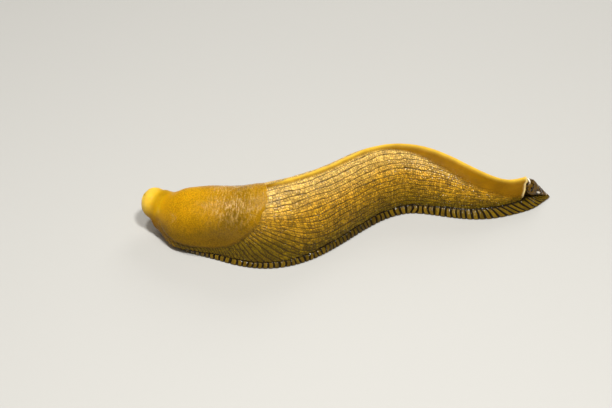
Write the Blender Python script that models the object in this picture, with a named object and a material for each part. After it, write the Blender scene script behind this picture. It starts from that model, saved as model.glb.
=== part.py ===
"""Banana slug, drawn in and at rest on its sole, at life size.

Metres, +Z up. The head looks along -X, the tail points along +X, the sole is flat on z = 0 and the origin
is under the middle of the bounding box. The body is a loft along a curved axis on the floor. A place on it
is given by s, the distance along that axis from the back of the head, and f, the share of the half girth
from the keel (0) down to the groove over the foot (-1 on the animal's left, 1 on its right). All lengths
in the constants and formulas are millimetres.
"""

import math

import bpy
import numpy as np

MM = 0.001
GAP = 0.3

# The body axis in plan and the sizes of the body on it: half width of the foot, half width at the groove
# over the foot, height of the back, roundness of the roof, height of the groove.
STATIONS = np.array((
    (-40.6, -12.1, 2.0, 4.3, 12.1, 2.00, 1.7),
    (-39.5, -12.7, 2.8, 5.6, 12.5, 2.00, 1.7),
    (-37.4, -13.9, 4.3, 7.1, 13.3, 2.05, 1.7),
    (-34.5, -15.2, 6.7, 8.7, 14.3, 2.10, 1.7),
    (-30.0, -16.3, 8.8, 9.6, 15.4, 2.10, 1.8),
    (-22.0, -17.9, 10.4, 10.0, 16.7, 2.00, 1.8),
    (-11.0, -20.1, 11.7, 11.1, 20.2, 1.70, 1.9),
    (-1.5, -15.5, 11.5, 10.7, 20.0, 1.55, 2.1),
    (9.0, -6.9, 10.1, 9.4, 18.9, 1.50, 2.3),
    (18.5, 1.1, 10.1, 9.2, 18.4, 1.45, 2.4),
    (30.0, 4.6, 9.6, 8.7, 17.4, 1.40, 2.5),
    (42.0, 2.0, 8.8, 7.7, 14.8, 1.35, 2.7),
    (52.0, -0.3, 7.6, 6.1, 10.5, 1.30, 3.0),
    (61.0, 0.9, 5.7, 3.9, 7.5, 1.30, 3.1),
    (64.3, 1.9, 5.0, 3.0, 7.5, 1.40, 3.0),
    (67.2, 2.8, 3.7, 2.2, 5.7, 1.50, 2.5),
    (69.8, 3.4, 2.0, 1.3, 2.2, 1.70, 1.6),
    (71.8, 3.7, 0.5, 0.3, 0.9, 1.80, 0.6),
))
FLANK_ROUNDNESS = 2.3
ORIGIN_IN_PLAN = np.array((12.18, -8.8))
AXIS_STEP = 0.05

# Ends of the lengths that the trunk and the foot are divided into, along the axis.
TRUNK_CUTS = (36.0, 60.0, 88.0)
FOOT_CUTS = (30.0, 60.0, 92.0)
TRUNK_END_MARGIN = 1.5

# Relief of the trunk: a keel, a smooth band beside it that widens to the rear, and grooves on the flank
# that are closer together behind the mantle. Places along the axis, and from its end.
KEEL_START = 33.0
KEEL_RISE = 8.0
KEEL_END = 7.0
KEEL_FALL = 4.0
KEEL_HEIGHT = 0.6
KEEL_HALF_WIDTH = 0.9
GROOVES_A_SIDE = 8
GROOVE_DEPTH = 0.35
GROOVE_START = 30.0
GROOVE_RISE = 4.0
GROOVE_END = 12.0
GROOVE_FALL = 5.0
GROOVE_FAN = 0.7
GROOVE_FAN_LENGTH = 12.0
SMOOTH_BAND_FRONT = 0.10
SMOOTH_BAND_REAR = 0.42
SMOOTH_BAND_PLACES = (70.0, 35.0)
BAND_EDGE = 0.1
LOWER_EDGE = 0.94

# Foot: a flat sole with a rounded front and an edge notched into lobes.
FOOT_START = 0.3
FOOT_FRONT_MARGIN = 0.3
FOOT_END_MARGIN = 0.25
FOOT_FRONT_ROUNDING = 4.5
LOBE_PITCH = 2.7
STEPS_A_LOBE = 3
LOBE_NOTCH = 0.35
NOTCH_FADE = 4.0
SOLE_BEVEL = 0.4
EDGE_BULGE = 0.55
TOP_INSET = 0.1

# Mantle: an oval shield over the front of the back, which sits in a seat cut out of the trunk.
MANTLE_MIDDLE = 16.5
MANTLE_FRONT_REACH = 16.6
MANTLE_REAR_REACH = 14.6
MANTLE_GIRTH = 0.92
MANTLE_FRONT_DROP = 0.045
MANTLE_FRONT_OUTLINE = 3.2
MANTLE_REAR_OUTLINE = 2.1
MANTLE_PROUD = 0.45
MANTLE_DEPTH = 1.7
MANTLE_LIP = 0.9
MANTLE_LIP_TURNS = (0.0, 35.0, 65.0, 90.0)
MANTLE_RINGS = 8
MANTLE_SPOKES = 48
SEAT_PROUD = 3.0
SEAT_LIP = 0.2
BREATHING_HOLE_PLACE = (24.5, 0.72)
BREATHING_HOLE_RADII = (1.2, 1.3, 1.6)

# Head: a blunt dome on a short neck that narrows to it, its middle higher to the front, its chin drawn up.
# The trunk's section turns into the head's ellipse over the blend.
NECK_LENGTH = 2.65
DOME_LENGTH = 4.0
HEAD_HALF_WIDTH = 4.9
HEAD_HALF_HEIGHT = 4.7
NECK_HALF_HEIGHT = 5.65
NECK_HALF_WIDTH = 5.25
NECK_WIDENING = 0.3
CHEEK = 0.31
HEAD_MIDDLE = 6.6
HEAD_TILT = 0.26
CHIN_RISE = 1.2
HEAD_UNDERSIDE = math.radians(50)
HEAD_BLEND_START = -0.65
HEAD_BLEND_LENGTH = 7.0
HEAD_SPOKES = 44
NECK_RINGS = 5
DOME_RINGS = 16
# Dents of the upper and lower tentacles, and the mouth: azimuth and height on the dome in degrees, radius
# and depth.
UPPER_TENTACLE = (34.0, 34.0, 1.0, 0.55)
LOWER_TENTACLE = (26.0, -16.0, 0.75, 0.4)
DENT_RIM = 0.45
MOUTH_HEIGHT = -40.0
MOUTH_RADII = (1.1, 1.4, 0.35)
LIP_REACH = (1.6, 1.1)
LIP_HEIGHT = 0.4

# Pit of the tail: place in the stations' own plan, radii, and heading of the body there.
PIT_PLACE = (66.4, 2.6, 6.2)
PIT_RADII = (1.5, 1.1, 2.2)
PIT_HEADING = math.radians(17)

RING_STEP = 2.6
ROOF_POINTS = 64
ROOF_POINTS_TAIL = 44
SECTION_SAMPLES = 160
SLOPE_SHARE = 0.04
EDGE_SAMPLES = 800
SHARP_EDGE = math.radians(35)

# Colour and roughness of each part of the skin.
SKIN = ((0.38, 0.22, 0.04, 1.0), 0.35)
MANTLE_SKIN = ((0.51, 0.26, 0.02, 1.0), 0.35)
HEAD_SKIN = ((0.62, 0.36, 0.04, 1.0), 0.4)
FRINGE_SKIN = ((0.14, 0.09, 0.02, 1.0), 0.4)


def natural_spline(knots, values, at):
    """The natural cubic spline through values at the knots, read at the places at."""
    count = len(knots)
    step = np.diff(knots)
    slope = np.diff(values, axis=0) / step[:, None]
    system = np.eye(count)
    right = np.zeros_like(values)
    for i in range(1, count - 1):
        system[i, i - 1:i + 2] = step[i - 1], 2 * (step[i - 1] + step[i]), step[i]
        right[i] = 6 * (slope[i] - slope[i - 1])
    bend = np.linalg.solve(system, right)
    k = np.clip(np.searchsorted(knots, at) - 1, 0, count - 2)
    t = (at - knots[k])[:, None]
    h = step[k][:, None]
    linear = slope[k] - h * (2 * bend[k] + bend[k + 1]) / 6
    return values[k] + t * (linear + t * (bend[k] / 2 + t * (bend[k + 1] - bend[k]) / (6 * h)))


KNOTS = np.append(0.0, np.cumsum(np.hypot(*np.diff(STATIONS[:, :2], axis=0).T)))
LENGTH = KNOTS[-1]


def sizes(s):
    """Foot half width, groove half width, back height, roof roundness and groove height at each s."""
    return natural_spline(KNOTS, STATIONS[:, 2:], np.clip(s, 0, LENGTH)).T


def axis(s):
    """Point of the axis in plan, and the unit vector to the animal's right. Before s = 0 it runs straight."""
    on = np.clip(s, 0, LENGTH - AXIS_STEP)
    point = natural_spline(KNOTS, STATIONS[:, :2], on)
    along = natural_spline(KNOTS, STATIONS[:, :2], on + AXIS_STEP) - point
    along /= np.linalg.norm(along, axis=1)[:, None]
    point = point + along * (np.asarray(s) - on)[:, None] - ORIGIN_IN_PLAN
    return point, np.column_stack((-along[:, 1], along[:, 0]))


def place(s, across, up):
    """World points at distances across and up from the axis at each s."""
    point, right = axis(s)
    return np.column_stack((point + right * np.asarray(across)[:, None], up))


def rise(value, start, length):
    """0 before start, 1 after start + length, and a smooth step between them."""
    t = np.clip((np.asarray(value, float) - start) / length, 0, 1)
    return t * t * (3 - 2 * t)


def bell(value, middle, width):
    """1 at the middle, falling off as a bell curve of that half width."""
    return np.exp(-((value - middle) / width) ** 2)


def head_section(s, turn):
    """Across and up of the head's ellipse at one s, at angles turn round it."""
    forward = max(-s, 0)
    neck = rise(forward, 0, NECK_LENGTH)
    half_width = NECK_HALF_WIDTH + (HEAD_HALF_WIDTH - NECK_HALF_WIDTH) * neck + NECK_WIDENING * max(s, 0)
    half_height = NECK_HALF_HEIGHT + (HEAD_HALF_HEIGHT - NECK_HALF_HEIGHT) * neck
    past = max(forward - NECK_LENGTH, 0) / DOME_LENGTH
    shrink = math.sqrt(max(1 - past * past, 0))
    below = np.maximum(-np.sin(turn), 0)
    across = half_width * shrink * np.cos(turn) * (1 + CHEEK * (1 - neck) * below)
    up = HEAD_MIDDLE + HEAD_TILT * forward + half_height * shrink * np.sin(turn)
    return across, up + CHIN_RISE * neck * shrink * below


def section(s, f, offset=0.0):
    """Across and up of the smooth body at one s, for the shares f, moved out by offset, and the half girth.

    The roof is read by its own arc length, and mixed by a smooth step into the head's ellipse.
    """
    _, waist, back, roundness, groove = (value[0] for value in sizes([s]))
    angle = np.linspace(-math.pi / 2, math.pi / 2, SECTION_SAMPLES + 1)
    across = waist * np.sign(angle) * np.abs(np.sin(angle)) ** (2 / roundness)
    up = groove + (back - groove) * np.abs(np.cos(angle)) ** (2 / FLANK_ROUNDNESS)
    run = np.append(0.0, np.cumsum(np.hypot(np.diff(across), np.diff(up))))
    mix = rise(s, HEAD_BLEND_START, HEAD_BLEND_LENGTH)

    def read(share):
        wanted = (share + 1) / 2 * run[-1]
        head_across, head_up = head_section(s, math.pi / 2 - share * (math.pi / 2 + HEAD_UNDERSIDE))
        return np.column_stack((
            np.interp(wanted, run, across) * mix + head_across * (1 - mix),
            np.interp(wanted, run, up) * mix + head_up * (1 - mix),
        ))

    f = np.asarray(f, float)
    point = read(f)
    slope = read(np.minimum(f + SLOPE_SHARE, 1)) - read(np.maximum(f - SLOPE_SHARE, -1))
    slope /= np.linalg.norm(slope, axis=1)[:, None]
    return point[:, 0] - slope[:, 1] * offset, point[:, 1] + slope[:, 0] * offset, run[-1] / 2


def relief(s, f, half_girth):
    """Height of the keel and of the ridges between the grooves over the smooth roof."""
    keel = KEEL_HEIGHT * rise(s, KEEL_START, KEEL_RISE) * (1 - rise(s, LENGTH - KEEL_END, KEEL_FALL))
    keel = keel * bell(f * half_girth, 0, KEEL_HALF_WIDTH)
    fan = 1 + GROOVE_FAN * math.exp(-max(s - GROOVE_START, 0) / GROOVE_FAN_LENGTH)
    band = SMOOTH_BAND_FRONT + (SMOOTH_BAND_REAR - SMOOTH_BAND_FRONT) * rise(s, *SMOOTH_BAND_PLACES)
    depth = GROOVE_DEPTH * rise(s, GROOVE_START, GROOVE_RISE) * rise(np.abs(f), band, BAND_EDGE)
    depth = depth * (1 - rise(s, LENGTH - GROOVE_END, GROOVE_FALL))
    depth = depth * (1 - rise(np.abs(f), LOWER_EDGE, 1 - LOWER_EDGE))
    return keel - depth * (0.5 + 0.5 * np.cos(2 * math.pi * GROOVES_A_SIDE * fan * np.abs(f)))


def new_object(name, points, faces, collection, parent, material=None):
    mesh = bpy.data.meshes.new(name)
    mesh.from_pydata((np.asarray(points) * MM).tolist(), [], faces)
    mesh.update()
    obj = bpy.data.objects.new(name, mesh)
    obj.parent = parent
    collection.objects.link(obj)
    if material:
        mesh.materials.append(material)
        mesh.shade_smooth()
        mesh.set_sharp_from_angle(angle=SHARP_EDGE)
    return obj


def closed_loft(rings):
    """Points and faces of a closed tube through rings of equal count, with flat ends."""
    count = len(rings[0])
    around = np.arange(count)
    after = np.roll(around, -1)
    faces = [tuple(around[::-1].tolist())]
    for k in range(len(rings) - 1):
        low = k * count
        high = low + count
        quads = np.column_stack((low + around, low + after, high + after, high + around))
        faces.extend(map(tuple, quads.tolist()))
    faces.append(tuple((around + (len(rings) - 1) * count).tolist()))
    return np.concatenate(rings), faces


def trunk_length(start, end, points):
    """Roof and flat underside of the body between two places on its axis."""
    rings = []
    count = max(2, round((end - start) / RING_STEP))
    for s in np.linspace(start, end, count + 1):
        _, _, half_girth = section(s, [0.0])
        shares = np.linspace(1, -1, points + 1) * (1 - GAP / 2 / half_girth)
        across, up, _ = section(s, shares, relief(s, shares, half_girth))
        up[[0, -1]] = sizes([s])[4][0] + GAP / 2
        rings.append(place(np.full(len(up), s), across, up))
    return closed_loft(rings)


def foot_half_width(s):
    """The foot's edge without its lobes, rounded at the front as a quarter of an ellipse."""
    short = np.clip(1 - (np.asarray(s) - FOOT_START) / FOOT_FRONT_ROUNDING, 0, 1)
    return sizes(s)[0] * np.sqrt(1 - short * short)


def edge_length():
    """Places along the axis, and the length of the foot's edge up to each."""
    s = np.linspace(FOOT_START + FOOT_FRONT_MARGIN, LENGTH - FOOT_END_MARGIN, EDGE_SAMPLES)
    edge = place(s, -foot_half_width(s), np.zeros_like(s))
    return s, np.append(0.0, np.cumsum(np.linalg.norm(np.diff(edge, axis=0), axis=1)))


def foot_length(start, end):
    """Sole, lobed edge and flat top of the foot between two places on the axis.

    The rings lie at thirds of a lobe along the edge, and every third one is drawn in as a notch.
    """
    s, run = edge_length()
    first, last = np.interp((start, end), s, run) * STEPS_A_LOBE / LOBE_PITCH
    inner = np.arange(math.ceil(first + 0.3), last - 0.3)
    rings = []
    for step in (first, *inner, last):
        at = step * LOBE_PITCH / STEPS_A_LOBE
        here = np.interp(at, run, s)
        notched = abs(step / STEPS_A_LOBE - round(step / STEPS_A_LOBE)) < 0.1
        width = foot_half_width([here])[0]
        width -= LOBE_NOTCH * notched * min(at, run[-1] - at, NOTCH_FADE) / NOTCH_FADE
        _, waist, _, _, groove = (value[0] for value in sizes([here]))
        waist = min(waist, width + 1.0)
        bevel = min(SOLE_BEVEL, width / 3)
        top = groove - GAP / 2
        half = (
            (width - bevel, 0.0),
            (width, bevel),
            (EDGE_BULGE * width + (1 - EDGE_BULGE) * waist, top / 2),
            (waist - TOP_INSET * min(1, waist), top),
        )
        across = [-x for x, _ in half] + [x for x, _ in half[::-1]]
        up = [z for _, z in half] + [z for _, z in half[::-1]]
        rings.append(place(np.full(len(up), here), np.array(across)[::-1], np.array(up)[::-1]))
    return closed_loft(rings)


def mantle_rim(angle, margin):
    """s from the mantle's middle and f on its outline, moved out by margin, at each angle round it."""
    power = 2 / np.where(np.cos(angle) < 0, MANTLE_FRONT_OUTLINE, MANTLE_REAR_OUTLINE)
    ahead = np.sign(np.cos(angle)) * np.abs(np.cos(angle)) ** power
    aside = np.sign(np.sin(angle)) * np.abs(np.sin(angle)) ** power
    reach = np.where(ahead < 0, MANTLE_FRONT_REACH, MANTLE_REAR_REACH) + margin
    half_girth = np.array([section(s, [0.0])[2] for s in MANTLE_MIDDLE + ahead * reach])
    girth = MANTLE_GIRTH + MANTLE_FRONT_DROP * np.maximum(-ahead, 0)
    return ahead * reach, aside * (girth + margin / half_girth)


def mantle_shell(margin, proud, depth, lip):
    """A closed shield over the back: its top, its rounded rim and its underside."""
    angle = np.linspace(0, 2 * math.pi, MANTLE_SPOKES, endpoint=False)
    ahead, aside = mantle_rim(angle, margin)
    lip_share = lip / MANTLE_MIDDLE
    layers = [(0.0, proud)]
    layers += [(r / MANTLE_RINGS * (1 - lip_share), proud) for r in range(1, MANTLE_RINGS)]
    for turn in map(math.radians, MANTLE_LIP_TURNS):
        layers.append((1 - lip_share * (1 - math.sin(turn)), proud - lip * (1 - math.cos(turn))))
    layers.append((1.0, -depth))
    layers += [(r / MANTLE_RINGS, -depth) for r in range(MANTLE_RINGS - 1, 0, -2)]
    layers.append((0.0, -depth))
    rings = []
    for scale, offset in layers:
        ring = []
        for x, y in zip(ahead * scale, aside * scale):
            s = MANTLE_MIDDLE + x
            across, up, _ = section(s, [y], offset)
            ring.append(place([s], across, up)[0])
            if scale == 0:
                break
        rings.append(np.array(ring))
    return spun(rings)


def spun(rings):
    """Points and faces of a closed skin through rings that start and end in a single point."""
    faces = []
    count = len(rings[1])
    starts = np.cumsum([0] + [len(ring) for ring in rings])
    for k in range(len(rings) - 1):
        low, high = starts[k], starts[k + 1]
        for i in range(count):
            j = (i + 1) % count
            if len(rings[k]) == 1:
                faces.append((low, high + i, high + j))
            elif len(rings[k + 1]) == 1:
                faces.append((low + j, low + i, high))
            else:
                faces.append((low + i, high + i, high + j, low + j))
    return np.concatenate(rings), [tuple(int(v) for v in face) for face in faces]


def head_axes():
    """Point where the head meets the trunk, the way it looks, and the way to its right."""
    point, right = axis([0.0])
    return point[0], np.array((-right[0, 1], right[0, 0])), right[0]


def head_middle(forward):
    """Middle of the head's ellipse, in the head's own axes: forward, right, up."""
    return np.array((forward, 0, HEAD_MIDDLE + HEAD_TILT * forward))


def dome_point(azimuth, height):
    """A point on the dome in the head's own axes."""
    a, h = math.radians(azimuth), math.radians(height)
    way = np.array((math.cos(h) * math.cos(a), math.cos(h) * math.sin(a), math.sin(h)))
    ahead, right, up = way / np.linalg.norm(way / np.array((DOME_LENGTH, HEAD_HALF_WIDTH, HEAD_HALF_HEIGHT)))
    chin = CHIN_RISE * max(-up / HEAD_HALF_HEIGHT, 0)
    return head_middle(NECK_LENGTH + ahead) + np.array((0, right, up + chin))


def dented(points):
    """Draws the skin in over each tentacle with a low rim round the dent, and swells the lips."""
    push = np.zeros(len(points))
    for azimuth, height, radius, depth in (UPPER_TENTACLE, LOWER_TENTACLE):
        for side in (-1, 1):
            gap = np.linalg.norm(points - dome_point(azimuth * side, height), axis=1) / radius
            push += depth * (DENT_RIM * bell(gap, 1.3, 0.45) - bell(gap, 0, 0.8))
    away = points - dome_point(0, MOUTH_HEIGHT)
    gap = np.hypot(away[:, 1] / LIP_REACH[0], np.hypot(away[:, 0], away[:, 2]) / LIP_REACH[1])
    push += LIP_HEIGHT * bell(gap, 0.7, 0.4)
    way = points - head_middle(NECK_LENGTH)
    return points + way / np.linalg.norm(way, axis=1)[:, None] * push[:, None]


def head_body():
    """The head from its flat back to the front of its dome."""
    origin, ahead, right = head_axes()
    turn = np.linspace(0, 2 * math.pi, HEAD_SPOKES, endpoint=False)
    neck = np.linspace(GAP / 2, NECK_LENGTH, NECK_RINGS)
    dome = NECK_LENGTH + DOME_LENGTH * np.sin(np.linspace(0, math.pi / 2, DOME_RINGS)[1:-1])
    rings = [head_middle(GAP / 2)[None]]
    for forward in np.append(neck, dome):
        rings.append(dented(np.column_stack((np.full(HEAD_SPOKES, forward), *head_section(-forward, turn)))))
    rings.append(head_middle(NECK_LENGTH + DOME_LENGTH)[None])
    points, faces = spun(rings)
    plan = origin + np.outer(points[:, 0], ahead) + np.outer(points[:, 1], right)
    return np.column_stack((plan, points[:, 2])), [face[::-1] for face in faces]


def ellipsoid_cutter(name, centre, radii, heading, collection, parent):
    """A closed ellipsoid turned to a heading about the vertical."""
    bpy.ops.mesh.primitive_uv_sphere_add(segments=16, ring_count=8, radius=1.0)
    obj = bpy.context.object
    obj.name = name
    bpy.context.collection.objects.unlink(obj)
    collection.objects.link(obj)
    obj.parent = parent
    obj.location = np.asarray(centre) * MM
    obj.rotation_euler.z = heading
    obj.scale = np.asarray(radii) * MM
    return obj


def cut(obj, cutter, name):
    """Takes the cutter's shape out of an object, and hides the cutter."""
    cutter.hide_render = True
    cutter.display_type = "WIRE"
    modifier = obj.modifiers.new(name, "BOOLEAN")
    modifier.operation = "DIFFERENCE"
    modifier.object = cutter


def skin_material(name, look):
    colour, roughness = look
    material = bpy.data.materials.new(name)
    material.use_nodes = True
    shader = material.node_tree.nodes["Principled BSDF"]
    shader.inputs["Base Color"].default_value = colour
    shader.inputs["Roughness"].default_value = roughness
    shader.inputs["Metallic"].default_value = 0.0
    return material


def lengths(start, cuts, end):
    """Start and end of each length, with half the gap left at each cut."""
    starts = [start] + [at + GAP / 2 for at in cuts]
    ends = [at - GAP / 2 for at in cuts] + [end]
    return zip(starts, ends)


def main():
    for obj in list(bpy.data.objects):
        bpy.data.objects.remove(obj, do_unlink=True)
    slug = bpy.data.collections.new("banana_slug")
    cutters = bpy.data.collections.new("cutters")
    for collection in (slug, cutters):
        bpy.context.scene.collection.children.link(collection)
    root = bpy.data.objects.new("banana_slug_root", None)
    slug.objects.link(root)

    nodes = {}

    def model(name, shape, look):
        nodes[name] = new_object(name, *shape, slug, root, skin_material(name, look))

    trunk_names = ("trunk_front", "trunk_middle", "trunk_rear", "tail")
    for name, (start, end) in zip(trunk_names, lengths(GAP / 2, TRUNK_CUTS, LENGTH - TRUNK_END_MARGIN)):
        points = ROOF_POINTS_TAIL if name == "tail" else ROOF_POINTS
        model(name, trunk_length(start, end, points), SKIN)
    foot_names = ("foot_front", "foot_middle", "foot_rear", "foot_tail")
    foot_ends = (FOOT_START + FOOT_FRONT_MARGIN, FOOT_CUTS, LENGTH - FOOT_END_MARGIN)
    for name, (start, end) in zip(foot_names, lengths(*foot_ends)):
        model(name, foot_length(start, end), FRINGE_SKIN)
    model("mantle", mantle_shell(0.0, MANTLE_PROUD, MANTLE_DEPTH, MANTLE_LIP), MANTLE_SKIN)
    model("head", head_body(), HEAD_SKIN)

    seat_shape = mantle_shell(GAP, SEAT_PROUD, MANTLE_DEPTH + GAP, SEAT_LIP)
    seat = new_object("mantle_seat", *seat_shape, cutters, root)
    cut(nodes["trunk_front"], seat, "seat of the mantle")
    cut(nodes["head"], seat, "seat of the mantle")

    _, right = axis([BREATHING_HOLE_PLACE[0]])
    across, up, _ = section(BREATHING_HOLE_PLACE[0], [BREATHING_HOLE_PLACE[1]])
    hole = ellipsoid_cutter(
        "breathing_hole",
        place([BREATHING_HOLE_PLACE[0]], across, up)[0],
        BREATHING_HOLE_RADII,
        math.atan2(-right[0, 0], right[0, 1]),
        cutters,
        root,
    )
    cut(nodes["mantle"], hole, "breathing hole")

    origin, ahead, sideways = head_axes()
    mouth_at = dome_point(0, MOUTH_HEIGHT)
    mouth = ellipsoid_cutter(
        "mouth",
        (*(origin + ahead * mouth_at[0] + sideways * mouth_at[1]), mouth_at[2]),
        MOUTH_RADII,
        math.atan2(ahead[1], ahead[0]),
        cutters,
        root,
    )
    cut(nodes["head"], mouth, "mouth")

    pit = ellipsoid_cutter(
        "tail_pit",
        (*(np.array(PIT_PLACE[:2]) - ORIGIN_IN_PLAN), PIT_PLACE[2]),
        PIT_RADII,
        PIT_HEADING,
        cutters,
        root,
    )
    cut(nodes["tail"], pit, "tail pit")


main()
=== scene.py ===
"""Banana slug, drawn in and at rest: its skin, foot, mantle and mucus, and the stage it is shown on.

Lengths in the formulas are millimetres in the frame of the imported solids: the head looks along -X, the
sole lies on z = 0. A place on the body is given by s, the distance along its axis from the back of the
head, and f, the share of the half girth from the keel (0) down to the groove over the foot (-1 on the
left, 1 on the right).
"""

import math

import bpy
import numpy as np
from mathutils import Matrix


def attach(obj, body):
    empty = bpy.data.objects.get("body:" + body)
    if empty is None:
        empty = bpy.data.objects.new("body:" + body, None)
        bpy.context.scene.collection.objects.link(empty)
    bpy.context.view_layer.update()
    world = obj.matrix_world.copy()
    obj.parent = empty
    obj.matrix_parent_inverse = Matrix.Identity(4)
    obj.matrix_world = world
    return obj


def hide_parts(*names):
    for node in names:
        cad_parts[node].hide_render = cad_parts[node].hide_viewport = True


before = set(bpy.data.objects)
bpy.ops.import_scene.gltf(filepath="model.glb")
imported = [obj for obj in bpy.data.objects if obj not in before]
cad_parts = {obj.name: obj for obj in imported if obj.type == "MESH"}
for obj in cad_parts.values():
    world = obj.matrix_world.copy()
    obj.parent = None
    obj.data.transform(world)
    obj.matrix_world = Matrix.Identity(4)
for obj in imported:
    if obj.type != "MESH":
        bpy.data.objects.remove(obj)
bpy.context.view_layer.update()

bl_info = {
    "name": "Banana slug",
    "version": (1, 0, 0),
    "blender": (4, 5, 0),
    "location": "3D View > Sidebar > Slug",
    "description": "Builds the skin, foot, mantle and mucus of a banana slug at rest",
    "category": "Add Mesh",
}

MM = 0.001
UP = (0, 0, 1)
# Size of the lattice of random values that smooth noise is read from.
LATTICE = (97, 89)

# The body axis in plan and the sizes of the body on it: half width of the foot, half width at the groove
# over the foot, height of the back, roundness of the roof, height of the groove.
STATIONS = np.array((
    (-40.6, -12.1, 2.0, 4.3, 12.1, 2.00, 1.7),
    (-39.5, -12.7, 2.8, 5.6, 12.5, 2.00, 1.7),
    (-37.4, -13.9, 4.3, 7.1, 13.3, 2.05, 1.7),
    (-34.5, -15.2, 6.7, 8.7, 14.3, 2.10, 1.7),
    (-30.0, -16.3, 8.8, 9.6, 15.4, 2.10, 1.8),
    (-22.0, -17.9, 10.4, 10.0, 16.7, 2.00, 1.8),
    (-11.0, -20.1, 11.7, 11.1, 20.2, 1.70, 1.9),
    (-1.5, -15.5, 11.5, 10.7, 20.0, 1.55, 2.1),
    (9.0, -6.9, 10.1, 9.4, 18.9, 1.50, 2.3),
    (18.5, 1.1, 10.1, 9.2, 18.4, 1.45, 2.4),
    (30.0, 4.6, 9.6, 8.7, 17.4, 1.40, 2.5),
    (42.0, 2.0, 8.8, 7.7, 14.8, 1.35, 2.7),
    (52.0, -0.3, 7.6, 6.1, 10.5, 1.30, 3.0),
    (61.0, 0.9, 5.7, 3.9, 7.5, 1.30, 3.1),
    (64.3, 1.9, 5.0, 3.0, 7.5, 1.40, 3.0),
    (67.2, 2.8, 3.7, 2.2, 5.7, 1.50, 2.5),
    (69.8, 3.4, 2.0, 1.3, 2.2, 1.70, 1.6),
    (71.8, 3.7, 0.5, 0.3, 0.9, 1.80, 0.6),
))
FLANK_ROUNDNESS = 2.3
ORIGIN_IN_PLAN = np.array((12.18, -8.8))
# Step along the axis over which its direction is taken, and steps round a section of the roof.
AXIS_STEP = 0.05
ROOF_STEPS = 240

# Head: a blunt dome on a short neck that narrows to it, its middle higher to the front, its chin drawn up.
NECK_LENGTH = 2.65
DOME_LENGTH = 4.0
HEAD_HALF_WIDTH = 4.9
HEAD_HALF_HEIGHT = 4.7
NECK_HALF_HEIGHT = 5.65
NECK_HALF_WIDTH = 5.25
NECK_WIDENING = 0.3
CHEEK = 0.31
HEAD_MIDDLE = 6.6
HEAD_TILT = 0.26
CHIN_RISE = 1.2
HEAD_UNDERSIDE = math.radians(50)
HEAD_BLEND_START = -0.65
HEAD_BLEND_LENGTH = 7.0
# Dents of the upper and lower tentacles: azimuth and height on the dome in degrees, radius and depth.
UPPER_TENTACLE = (34.0, 34.0, 0.8, 0.4)
LOWER_TENTACLE = (26.0, -16.0, 0.6, 0.3)
MOUTH_HEIGHT = -40.0
MOUTH_REACH = (1.5, 0.5)
MOUTH_DEPTH = 0.6
LIP_REACH = (1.7, 1.1)
LIP_HEIGHT = 0.4
PUCKERS = 9

# Mantle: an oval shield over the front of the back.
MANTLE_MIDDLE = 16.5
MANTLE_FRONT_REACH = 16.6
MANTLE_REAR_REACH = 14.6
MANTLE_GIRTH = 0.92
MANTLE_FRONT_DROP = 0.045
MANTLE_FRONT_OUTLINE = 3.2
MANTLE_REAR_OUTLINE = 2.1
MANTLE_PROUD = 0.45
MANTLE_DEPTH = 0.9
MANTLE_LIP = 0.9
MANTLE_LIP_SHARE = 1 / 16
BREATHING_HOLE_PLACE = (24.5, 0.72)
# Points round each ring of the mantle, and its rings on top, round the lip and below.
MANTLE_POINTS = 470
MANTLE_RINGS = (100, 15, 7)

# The grooves of the flank leave the mantle's margin at an angle: share of the half girth that they sink in a
# millimetre along the body, the shares between which this sets in, and the places s between which it fades.
FAN_SLOPE = 0.07
FAN_SHARES = (0.33, 0.78)
FAN_FADE = (27.0, 44.0)
FAN_STEPS = 28

CELL_JITTER = 0.62

# Where the head's yellow starts to turn into the tones behind it, and over what length, on the mantle and
# on the skin beside it.
HEAD_TONE = (-4.5, 9.0)
BODY_HEAD_TONE = (0.5, 9.0)

# Foot: where it starts, the lengths over which its front and its end are rounded, and its lower edge.
FOOT_START = 0.3
FOOT_FRONT_ROUNDING = 4.5
FOOT_END_ROUNDING = 1.2
FOOT_BEVEL = 0.35
# Lengths at its front and its end over which its rows crowd, and rows over each of these and between them.
FOOT_CROWDED = (2.0, 1.5)
FOOT_CROWDED_ROWS = 24
FOOT_ROWS = 780
# Points of half a row: on the sole, round its corner, up the face of the fringe and in over the top.
SOLE_POINTS = 6
CORNER_POINTS = 7
FACE_POINTS = 24
TOP_POINTS = 4
# The upper end of a fold lies this far ahead of its lower end, and still further towards the tail: by how
# much more, from which place along X of the stations, and over what length that comes in.
FOLD_LEAN = 0.2
MORE_LEAN = ((1.8, 44, 8), (2.0, 50, 7), (3.5, 60, 9))

# Tail: the rim of the mucus pit, and the plug in it, at places along X of the stations.
RIM_TOP = 64.4
RIM_LEAN = 3.0
PLUG_MIDDLE = 67.2
PLUG_REACH = (4.0, 1.0)
PLUG_POWER = 0.6
PLUG_POINTS = 90
PLUG_RINGS = (31, 10)
# Pale flecks on it, white froth and painted glints of wet mucus: place along X of the stations, share of the
# half girth, and their half sizes.
FROTH_AND_GLINTS = ((67.6, -0.72, 0.9, 0.1), (70.9, -0.4, 0.35, 0.5), (65.0, 0.0, 0.3, 0.3))

# Flesh: soft tissue that light enters by a millimetre, under a thin film of mucus.
WET_FLESH = (
    ("Roughness", 0.5), ("Specular IOR Level", 0.05), ("IOR", 1.4), ("Subsurface Weight", 0.15),
    ("Subsurface Scale", 0.001), ("Subsurface Radius", (1.0, 0.4, 0.08)), ("Coat Weight", 0.7),
    ("Coat Roughness", 0.1), ("Coat IOR", 1.34),
)
# Mucus: a jelly that lets some light through, with a film that is nearly glassy.
GLASSY_MUCUS = (
    ("Roughness", 0.25), ("Specular IOR Level", 0.1), ("IOR", 1.36), ("Transmission Weight", 0.1),
    ("Coat Weight", 1.0), ("Coat Roughness", 0.05), ("Coat IOR", 1.34),
)

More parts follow.
